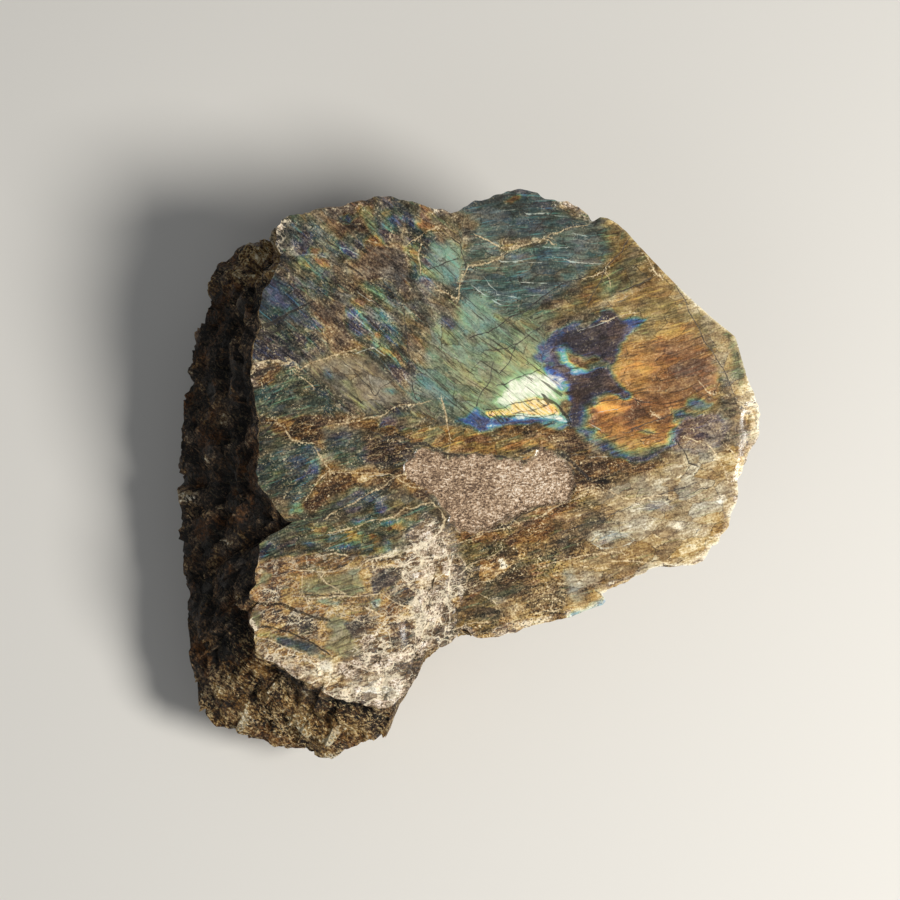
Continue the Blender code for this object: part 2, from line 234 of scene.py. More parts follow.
# Open cracks of the polished face, each (half its width in mm, a line in plan).
OPEN_CRACKS = [
    (0.44, [(-46.6, 29.9), (-43.4, 30.9), (-39.6, 32.3)]),
    (0.36, [(-46, 28.5), (-42.6, 29.3)]),
    (0.40, [(-47.4, 19.9), (-43.6, 21.2)]),
    (0.36, [(-46.8, 9.4), (-44.4, 11.0)]),
    (0.30, [(-39.6, 32.3), (-36.5, 34.2), (-34, 35.4)]),
    (0.26, [(-45, 28.7), (-42, 29.4), (-40.2, 30.2)]),
    (0.28, [(-46.8, 20), (-44.2, 21.2), (-41.6, 21.8)]),
    (0.22, [(-46, 17.8), (-44, 18.3), (-42, 19.2)]),
    (0.12, [(-45, 13.8), (-43, 14.8), (-40, 15.8)]),
    (0.26, [(-46, 9.8), (-44.4, 11.2)]),
    (0.26, [(-45.4, 7.6), (-43.4, 8.8), (-42, 10)]),
    (0.20, [(-30.3, 48.1), (-28.6, 46.8), (-27.6, 45.2)]),
    (0.22, [(-26.6, 43.2), (-25, 41.6), (-23.9, 40.9)]),
    (0.20, [(-28.8, 53.4), (-27.8, 52.2), (-26, 51.6), (-24.6, 50.9)]),
    (0.26, [(-23.2, 32.4), (-21, 30.6), (-19.2, 29.1)]),
    (0.09, [(-18, 27.4), (-15, 24.2), (-12.2, 21.4), (-8.6, 19.2)]),
    (0.09, [(-13.2, 24.6), (-13, 19.6), (-12.4, 15.4)]),
    (0.09, [(-27.6, 22.8), (-24.6, 20.6), (-22, 18), (-21, 15.6), (-18.4, 18), (-16, 19.2)]),
    (0.11, [(-37.2, 21.6), (-33.2, 19.6), (-30.4, 16.4), (-27, 13.4)]),
    (0.12, [(-9.4, 42.2), (-6, 43.4), (-3.4, 44.2)]),
    (0.12, [(-4.6, 48.6), (-2.8, 46.4), (-2.2, 43.8), (-1.6, 42)]),
    (0.13, [(-1, 27.8), (3, 29.3), (7, 31.4), (11, 33.6), (14, 36.2), (17, 38.2), (20, 39.6), (24, 41.4)]),
    (0.10, [(2.4, 25.2), (7, 26), (10.6, 27.8), (15, 31)]),
    (0.11, [(5.8, 20.5), (7.4, 22.4), (8.2, 25.2), (8.8, 27)]),
    (0.11, [(0.8, 13.6), (2, 17), (3.8, 19.6), (4.4, 23)]),
    (0.09, [(4.6, 17.8), (9, 19.3), (12, 20.6), (15, 22)]),
    (0.11, [(2.5, 13), (6, 13.4), (9.5, 14.6), (12.8, 15.4), (14.4, 14.6), (15.2, 14)]),
    (0.09, [(8, 12.2), (12, 13), (15.6, 14.1)]),
    (0.09, [(11.2, 14.7), (12.2, 13.2), (13.2, 11.4)]),
    (0.09, [(4.4, 11.2), (9, 12), (13, 11.6), (17, 12.2)]),
    (0.34, [(14.8, 15.9), (16.4, 14.8), (18, 13.1), (19.3, 11.6), (20.2, 10.2)]),
    (0.12, [(3.4, 12), (4.8, 10.6), (6, 9.4)]),
    (0.30, [(18.8, 3.6), (20.6, 2), (22.6, 0.2), (24.2, -1.1)]),
    (0.15, [(43, 6.7), (44.3, 4.5), (45.3, 2.2), (47, 1.4)]),
    (0.30, [(-13.8, 5.4), (-10.5, 6.3), (-7, 4.2), (-3, 3.4), (2, 3.6), (6, 3.3), (8.5, 2.7), (12, 2)]),
    (0.26, [(10.6, 4), (13.4, 5), (15, 5.1)]),
    (0.20, [(-4.6, -10.8), (0, -11.9), (4.5, -11.5), (8, -10.4), (10, -8.6), (13.5, -7.2), (17, -6.6),
            (20, -5.9)]),
    (0.30, [(-47.6, -26.8), (-43.5, -27), (-40.5, -27.2), (-38, -28.3), (-34, -29.6), (-31, -30.2)]),
    (0.20, [(-44.5, -31.8), (-40, -32.4), (-37, -33.4), (-33, -35.4), (-30.5, -37)]),
    (0.09, [(26, -10.8), (30, -8.2), (33.5, -6.6)]),
    (0.10, [(39, -4.6), (43, -3.2), (47, -2)]),
    (0.09, [(41, -6), (45, -4.6), (49.6, -2.8)]),
    (0.09, [(19, -12.2), (24, -10.4), (28, -9)]),
    (0.10, [(7.4, 51), (7.2, 49.4), (6.2, 48), (5.6, 46.8)]),
    (0.10, [(7.6, 51.2), (10, 50.8), (12, 50.2), (13, 50.6)]),
    (0.09, [(12, 50.2), (11.6, 48.4), (12, 47.6)]),
    (0.10, [(13, 50.2), (15, 52.6), (17.4, 55)]),
    (0.09, [(20.4, 52.8), (20.8, 51.4)]),
    (0.11, [(24.4, 35), (26, 38.6), (27.6, 41.6), (29.4, 44.6), (31.4, 46.2), (32.6, 48.4)]),
    (0.09, [(31, 37.6), (34, 39.2), (37.5, 40.4)]),
    (0.10, [(42.8, 39), (46.8, 30.5), (50.5, 24.5), (54, 19), (55, 16.6)]),
    (0.10, [(33.4, 9), (37, 10.2), (41, 12), (45.5, 14.2)]),
    (0.10, [(27, 15.1), (32, 15.6), (37, 14.6)]),
    (0.09, [(31, 8.4), (35, 9), (39, 8.4)]),
    (0.11, [(-16, 39.6), (-14.8, 35), (-14.4, 30), (-13.6, 25)]),
    (0.11, [(-21.2, 8.4), (-18.6, 7.6), (-15, 7.4), (-11, 5.8)]),
    (0.10, [(-36.2, -10.6), (-31, -9.6)]),
    (0.09, [(-35.6, -24.8), (-30, -25.2), (-26, -25.4)]),
    (0.09, [(-4.8, -33), (-3.4, -31), (-3.8, -28)]),
]
# Cracks that healed with clay and calcite, pale tan to cream.
HEALED_VEINS = [
    (0.10, [(2.4, 43.4), (5, 44.4), (8, 45.8), (12, 47.6), (16, 49.6), (20, 50.4), (24, 51.8)]),
    (0.17, [(5.8, 47), (7.6, 46.3), (9, 46.8), (11, 47.2)]),
    (0.12, [(0.4, 49.2), (3, 48.2), (5.5, 47.2)]),
    (0.12, [(13, 48.6), (15.2, 48.6), (16.6, 47.7)]),
    (0.14, [(23.4, 40.6), (26, 41), (27.8, 41.8), (28.4, 43.2)]),
    (0.14, [(27.6, 41.6), (28.4, 40.4), (28.7, 39.2)]),
    (0.17, [(36.4, 45.6), (37.2, 43.4), (38, 41.6), (39.6, 40.4)]),
    (0.25, [(-46.4, 20.9), (-44.4, 22.6), (-41.8, 23.1), (-39, 22.6)]),
    (0.17, [(-38.6, 23.4), (-36.6, 21.4), (-35, 22.4), (-31, 23.6), (-27, 24.6), (-25, 25.4)]),
    (0.14, [(-38.6, 21.6), (-36, 19.8), (-33.6, 18)]),
    (0.19, [(-42, 10.8), (-39.6, 9.4), (-38.2, 7.2), (-36.6, 6.2), (-34, 6.2)]),
    (0.19, [(-33.4, 5.4), (-32.6, 3.6), (-31.4, 1.6), (-30.4, 0.4)]),
    (0.14, [(-30.5, 0.2), (-32.6, -2), (-35.2, -5.6)]),
    (0.12, [(-30.4, 0), (-26, 0.2), (-21, -0.2), (-18, -0.6), (-15.5, -1.8)]),
    (0.17, [(-31, -9.2), (-26.8, -7), (-21.6, -4.2), (-18.6, -2.6), (-16, -1.2), (-13.8, -0.4)]),
    (0.17, [(-17.6, -0.6), (-15.4, -2), (-13, -3), (-10.8, -3.4)]),
    (0.17, [(-30, -12.6), (-26, -11.4), (-20.6, -9.9), (-16.8, -9), (-15, -7.8), (-11, -6.7),
            (-8.6, -6.4)]),
    (0.22, [(-8.6, -6.4), (-6.8, -8), (-6, -9.6), (-6.8, -12), (-9.8, -14.4), (-14, -16.4)]),
    (0.12, [(-33, -17.4), (-29, -16.5), (-26.8, -17)]),
    (0.14, [(-38, -19.8), (-33, -20.3), (-29, -20.4), (-25, -19.4)]),
    (0.16, [(-24.6, -19.6), (-20.8, -17.8), (-18.5, -17.4), (-14.5, -16.2), (-10, -15.2)]),
    (0.22, [(-21.6, -18.6), (-20.6, -20.2), (-17.6, -19.2), (-14.8, -19.2), (-9.6, -18.2), (-6, -17)]),
    (0.13, [(-33, -20.6), (-30.6, -22.8), (-28.2, -24.6), (-26.4, -25.4)]),
    (0.12, [(-38, -25.4), (-34, -25.8), (-30, -25.6), (-26, -25.8), (-20, -25)]),
    (0.19, [(-19, -25.2), (-16.4, -27), (-13.8, -28), (-12, -29.4)]),
    (0.12, [(-16.4, -24.8), (-13.6, -23)]),
    (0.23, [(-22, -28.2), (-19.6, -29.6), (-16, -29.4), (-12.6, -29.8), (-10.2, -31.8)]),
    (0.20, [(-15, -19), (-14.8, -21.6), (-13.4, -23), (-11.4, -24.6), (-9, -28), (-6.6, -31)]),
    (0.11, [(-13.4, -22.4), (-9.4, -22.6), (-6.2, -20.6), (-4.4, -17)]),
    (0.12, [(-6.4, -14), (-5.4, -18), (-5.2, -22), (-5.6, -27), (-5, -32)]),
    (0.14, [(-3.2, -20.8), (-0.6, -19.4), (2.2, -18.2), (5, -16.8), (6.6, -15.8)]),
    (0.12, [(-0.6, -19.4), (-1.6, -22), (-1.4, -24.4), (1.2, -22.6), (4, -22.4)]),
    (0.12, [(-3.4, -17), (-2, -18.6), (-1.4, -20.4)]),
    (0.16, [(9.5, -10.2), (13, -9.4), (16, -7.9), (18.6, -6.6), (21.6, -5.2), (24.6, -4), (27, -4.6)]),
    (0.12, [(10, -8), (13, -7.2), (16, -6.4)]),
    (0.12, [(1, -12.4), (4, -12), (8, -10.8)]),
    (0.12, [(-3.4, -14.6), (-1, -13.8), (1.6, -13)]),
    (0.13, [(20.6, -3.8), (23, -3.6), (25, -2.8), (27.6, -3.6), (31, -5.4), (35.5, -5.2), (42, -4.4)]),
    (0.14, [(14, -19.6), (18, -18.6), (22, -17.2), (25, -16.8), (29.6, -16.5), (32, -16.9)]),
    (0.17, [(28.6, -18), (33, -18.2), (37, -18.8), (41, -18.8)]),
    (0.12, [(21, -18.8), (25, -19.8), (28, -19.6)]),
    (0.14, [(16, -23.2), (18.8, -22.8)]),
    (0.12, [(15.2, -23), (16.2, -25), (17.6, -26), (19.4, -27)]),
    (0.12, [(16.6, -25), (16.8, -28)]),
    (0.16, [(13, -29.6), (15, -28.8), (18, -28.4)]),
    (0.22, [(53, 6), (55.4, 3.6), (56, 2), (55.4, 0.2)]),
    (0.12, [(47.4, 18.8), (48.8, 17.2), (50.6, 16.4)]),
    (0.12, [(37.8, 12.6), (39.4, 11.6)]),
    (0.17, [(-6.6, 15.4), (-5.4, 12), (-5.2, 7), (-5.5, 3), (-4.4, -1)]),
    (0.14, [(-28.8, 10), (-24.6, 10.7), (-20.6, 11.4), (-16, 13.6), (-12, 14.4), (-9, 14.9)]),
    (0.17, [(-14.2, 47.2), (-12, 48.6), (-10.2, 49.8), (-7, 51.2)]),
    (0.16, [(-11, 47.2), (-11.6, 43.5), (-11.4, 41.6)]),
    (0.12, [(-3.6, 35), (-3, 38), (-2.2, 40.6), (-1.2, 42.6), (2.4, 43.4)]),
    (0.16, [(-5, -32.5), (-1, -31.3), (3, -30.6)]),
    (0.08, [(-16, -17.2), (-12.4, -15.4), (-9.4, -15)]),
    (0.08, [(-10.6, -17.6), (-9.6, -21.2), (-7.2, -22.6)]),
    (0.09, [(-14.6, -20), (-13.2, -21.6), (-11, -22.2), (-9, -22)]),
    (0.08, [(-11, -22.2), (-10.4, -25), (-8.4, -27.4), (-8, -31), (-8.8, -34.6)]),
    (0.08, [(-17, -24.8), (-14, -23), (-11.4, -25.6), (-12.8, -27.8)]),
    (0.08, [(-13, -37), (-12, -33.4), (-10, -31), (-10.2, -28)]),
    (0.08, [(-24, -30.4), (-20.4, -31), (-17.8, -33.4), (-17.4, -36.4)]),
    (0.08, [(-17.8, -33.4), (-14.4, -32.4), (-11.8, -33)]),
    (0.08, [(-5, -26.8), (-3.4, -24.8), (-3.6, -22.2), (-5, -21)]),
    (0.08, [(-1.2, -24.6), (1.6, -25.4), (4.6, -26.6), (6.4, -29.4)]),
    (0.12, [(-34, -39.4), (-28, -39.4), (-22, -41), (-17, -40.4)]),
    (0.12, [(-36, -21), (-36.6, -24), (-34.4, -27.6)]),
    (0.16, [(44.4, 7.4), (48.8, 6.4), (51.6, 3.4), (53.4, -1)]),
    (0.17, [(-16.8, -38), (-13, -37.2)]),
    (0.17, [(-15.2, -36.6), (-13.6, -35.6), (-12, -36)]),
    (0.16, [(-20.6, 47.6), (-22.4, 48.2)]),
    (0.12, [(27, 31.2), (30, 32.4), (34, 33.2)]),
    (0.16, [(-8, 37.6), (-5.4, 37.2), (-3.6, 35.8)]),
    (0.17, [(-46, -33.4), (-42.6, -34.8), (-39.4, -36.4)]),
]
# Layers that face the light edge on, and flash as short bright lines.
BRIGHT_LAYERS = [
    (0.16, [(11.3, 53.7), (15.9, 53.8)]),
    (0.10, [(6.6, 54.3), (9, 54.5)]),
    (0.10, [(15.8, 53.4), (19.6, 53.2)]),
    (0.14, [(5.8, 43.8), (8, 43.7), (10.2, 44)]),
    (0.10, [(10.8, 43.6), (14.6, 43.6)]),
    (0.14, [(19.4, 44.2), (21, 43.7), (22.8, 43.5)]),
    (0.12, [(24, 43.5), (26.9, 43.3)]),
    (0.14, [(10.6, 39.5), (13, 39.4), (15.2, 39.1)]),
    (0.14, [(5, 36.9), (7, 36.6), (8.6, 36.5)]),
    (0.10, [(14, 46.9), (17, 46.6), (19.6, 46.7)]),
    (0.10, [(21.2, 49.6), (23.6, 49.2)]),
    (0.08, [(21.4, 48.4), (24.4, 47.7)]),
    (0.08, [(10.8, 36.9), (15, 36.8)]),
    (0.10, [(0, 38.6), (3, 36.4), (6, 34.6)]),
    (0.10, [(2.4, 40.2), (3.6, 38.6), (4.8, 37.6)]),
    (0.12, [(-24, 37.2), (-22, 35.8)]),
    (0.10, [(-21, 35.4), (-17.4, 32)]),
    (0.12, [(-26, 33.2), (-23.6, 31.2), (-21.4, 29.2)]),
    (0.10, [(-24.4, 24.8), (-21, 26), (-18, 23.6)]),
    (0.10, [(-29.4, 47.2), (-26.6, 46.4), (-24.4, 45.2)]),
    (0.10, [(-36, 45.2), (-33.8, 45.4), (-31.4, 44.8)]),
    (0.10, [(-32, -13), (-29, -12.6), (-27, -11.9)]),
    (0.10, [(-28.6, -14.4), (-24.4, -12.6)]),
    (0.10, [(22.6, 29.6), (26, 30.6), (29.4, 32)]),
    (0.09, [(26.6, 12.6), (30, 13.2)]),
    (0.10, [(24.6, 3.2), (28, 3.4)]),
    (0.10, [(20.4, 4.2), (21.6, 3.8)]),
    (0.08, [(24, 10.4), (26.4, 9.2)]),
    (0.10, [(-21.6, -0.8), (-18.6, -0.5)]),
    (0.17, [(24.5, -14.5), (26, -12.8), (29, -12), (32, -12.6), (34, -14)]),
    (0.17, [(24.5, -14.5), (27, -15.6), (31, -15.4), (34, -14)]),
    (0.10, [(37, -5.8), (40, -6), (42, -7.4)]),
]


def line_distance(plan, lines):
    """Signed distance in plan from the nearest of some lines, its half width there, and how far it is.

    The nearest line is the one whose own edge is nearest. The distance is positive on the line's left
    and negative on its right. Where two stretches are as near, the side is that of the stretch whose
    own direction the place is farther off.
    """
    nearest = np.full(plan.shape[:-1], 1e9)
    signed = np.zeros(plan.shape[:-1])
    half_width = np.zeros(plan.shape[:-1])
    for line_half_width, line in lines:
        for start, end in zip(np.array(line[:-1], float), np.array(line[1:], float)):
            stretch = end - start
            reach = np.clip((plan - start) @ stretch / (stretch @ stretch), 0.0, 1.0)
            offset = plan - start - reach[..., None] * stretch
            across = stretch[0] * (plan[..., 1] - start[1]) - stretch[1] * (plan[..., 0] - start[0])
            away = np.hypot(offset[..., 0], offset[..., 1])
            score = away - line_half_width - 0.002 * abs(across) / np.hypot(*stretch)
            closer = score < nearest
            signed = np.where(closer, np.where(across < 0, -away, away), signed)
            half_width = np.where(closer, line_half_width, half_width)
            nearest = np.where(closer, score, nearest)
    return signed, half_width, abs(signed)


def warped(points, size, cell, seed):
    """Plan of points, pushed about by smooth noise, so that a drawn line or edge wanders as rock does.

    The push is a noise of the given size and cell, plus 0.45 of one three times as fine.
    """
    push = np.stack([noise(points, cell, seed), noise(points, cell, seed + 1)], axis=-1)
    finer = np.stack([noise(points, cell / 3, seed + 2), noise(points, cell / 3, seed + 3)], axis=-1)
    return points[..., :2] + size * (push + 0.45 * finer)


def facets(points, cell, tilt, seed):
    """Height of broken rock, made of small planes that meet in an edge or a small step.

    Each cell of a lattice has one centre at random, and a place belongs to the nearest centre. Its
    height is its offset from that centre, times the centre's own random slope.
    """
    low = np.floor(points / cell).astype(np.int64)
    nearest = np.full(points.shape[:-1], 1e9)
    height = np.zeros(points.shape[:-1])
    for corner in itertools.product((-1, 0, 1), repeat=3):
        at = low + np.array(corner)
        mixed = at[..., 0] * 73856093 ^ at[..., 1] * 19349663 ^ at[..., 2] * 83492791 ^ seed
        values = []
        for _ in range(6):
            mixed = (mixed & 0xFFFFFFFF) * 739982445
            mixed = (mixed >> 15 ^ mixed) & 0xFFFFFFFF
            mixed = (mixed >> 12 ^ mixed) * 695872825 + 12345
            values.append((mixed >> 8 & 0xFFFF) / 0xFFFF)
        centre = (at + np.stack(values[:3], axis=-1)) * cell
        offset = points - centre
        away = np.sum(offset**2, axis=-1)
        plane = np.sum(offset * (np.stack(values[3:], axis=-1) * 2.0 - 1.0), axis=-1) * tilt
        height = np.where(away < nearest, plane, height)
        nearest = np.minimum(nearest, away)
    return height


# Relief of the polished face: the hollow, the chips, the crushed corner and grooves along the cracks.
HOLLOW_GRAIN = 0.13  # how high the sawn grain of the hollow's floor is
HOLLOW_WAVES = 0.2  # and its broad waves
RUBBLE = [(3.2, 0.30, 58), (1.5, 0.34, 59)]  # size of a crumb of crushed feldspar, its slope, seed
CHIP_RUBBLE = 0.7  # share of the rubble's height that shows in the chips
CHIP_FLOOR = 0.8  # share of a chip's depth that its floor reaches, under the rubble
CRUSHED_RUBBLE = 0.42  # that share in the crushed corner
LOBE_RUBBLE = 0.14  # and on the whole lobe
GROOVE_ALONG_CRACKS = 0.05  # how deep the face dips beside an open crack
flat_face = np.column_stack([face_plan, np.zeros(len(face_plan))])
hollow = outline_distance(warped(flat_face, 0.7, 1.8, 41), [HOLLOW_RIM])
crack_place = warped(flat_face, 0.4, 3.0, 61)
open_cracks = line_distance(crack_place, OPEN_CRACKS)
face_z = face_height(face_plan)
grain_relief = layered_noise(flat_face, [(1.6, 1.0, 51), (0.9, 0.6, 52)])
hollow_floor = HOLLOW_DEPTH + HOLLOW_GRAIN * grain_relief + HOLLOW_WAVES * noise(flat_face, 6.0, 53)
face_z -= smooth_step(0.2, -0.6, hollow) * hollow_floor
jostled = flat_face + 0.5 * noise(flat_face, 2.0, 57)[:, None]
rubble = sum(facets(jostled, cell, tilt, seed) for cell, tilt, seed in RUBBLE)
chipped = np.zeros(len(face_plan))
for outline, depth in CHIPS:
    chip = outline_distance(warped(flat_face, 0.4, 2.0, 43), [outline])
    broken_off = smooth_step(0.8, -1.6, chip)
    face_z -= broken_off * (depth * CHIP_FLOOR + CHIP_RUBBLE * rubble)
    chipped = np.maximum(chipped, broken_off)
crushed = outline_distance(warped(flat_face, 0.8, 4.0, 45), [CRUSHED])
lobe = outline_distance(warped(flat_face, 0.8, 4.0, 47), [LOBE])
crushed_part = smooth_step(1.0, -1.5, crushed)
lobe_part = smooth_step(1.0, -1.5, lobe)
face_z += (CRUSHED_RUBBLE * crushed_part + LOBE_RUBBLE * lobe_part) * rubble
face_z -= GROOVE_ALONG_CRACKS * smooth_step(0.5, 0.1, open_cracks[2] - open_cracks[1])
face = np.column_stack([face_plan, face_z])

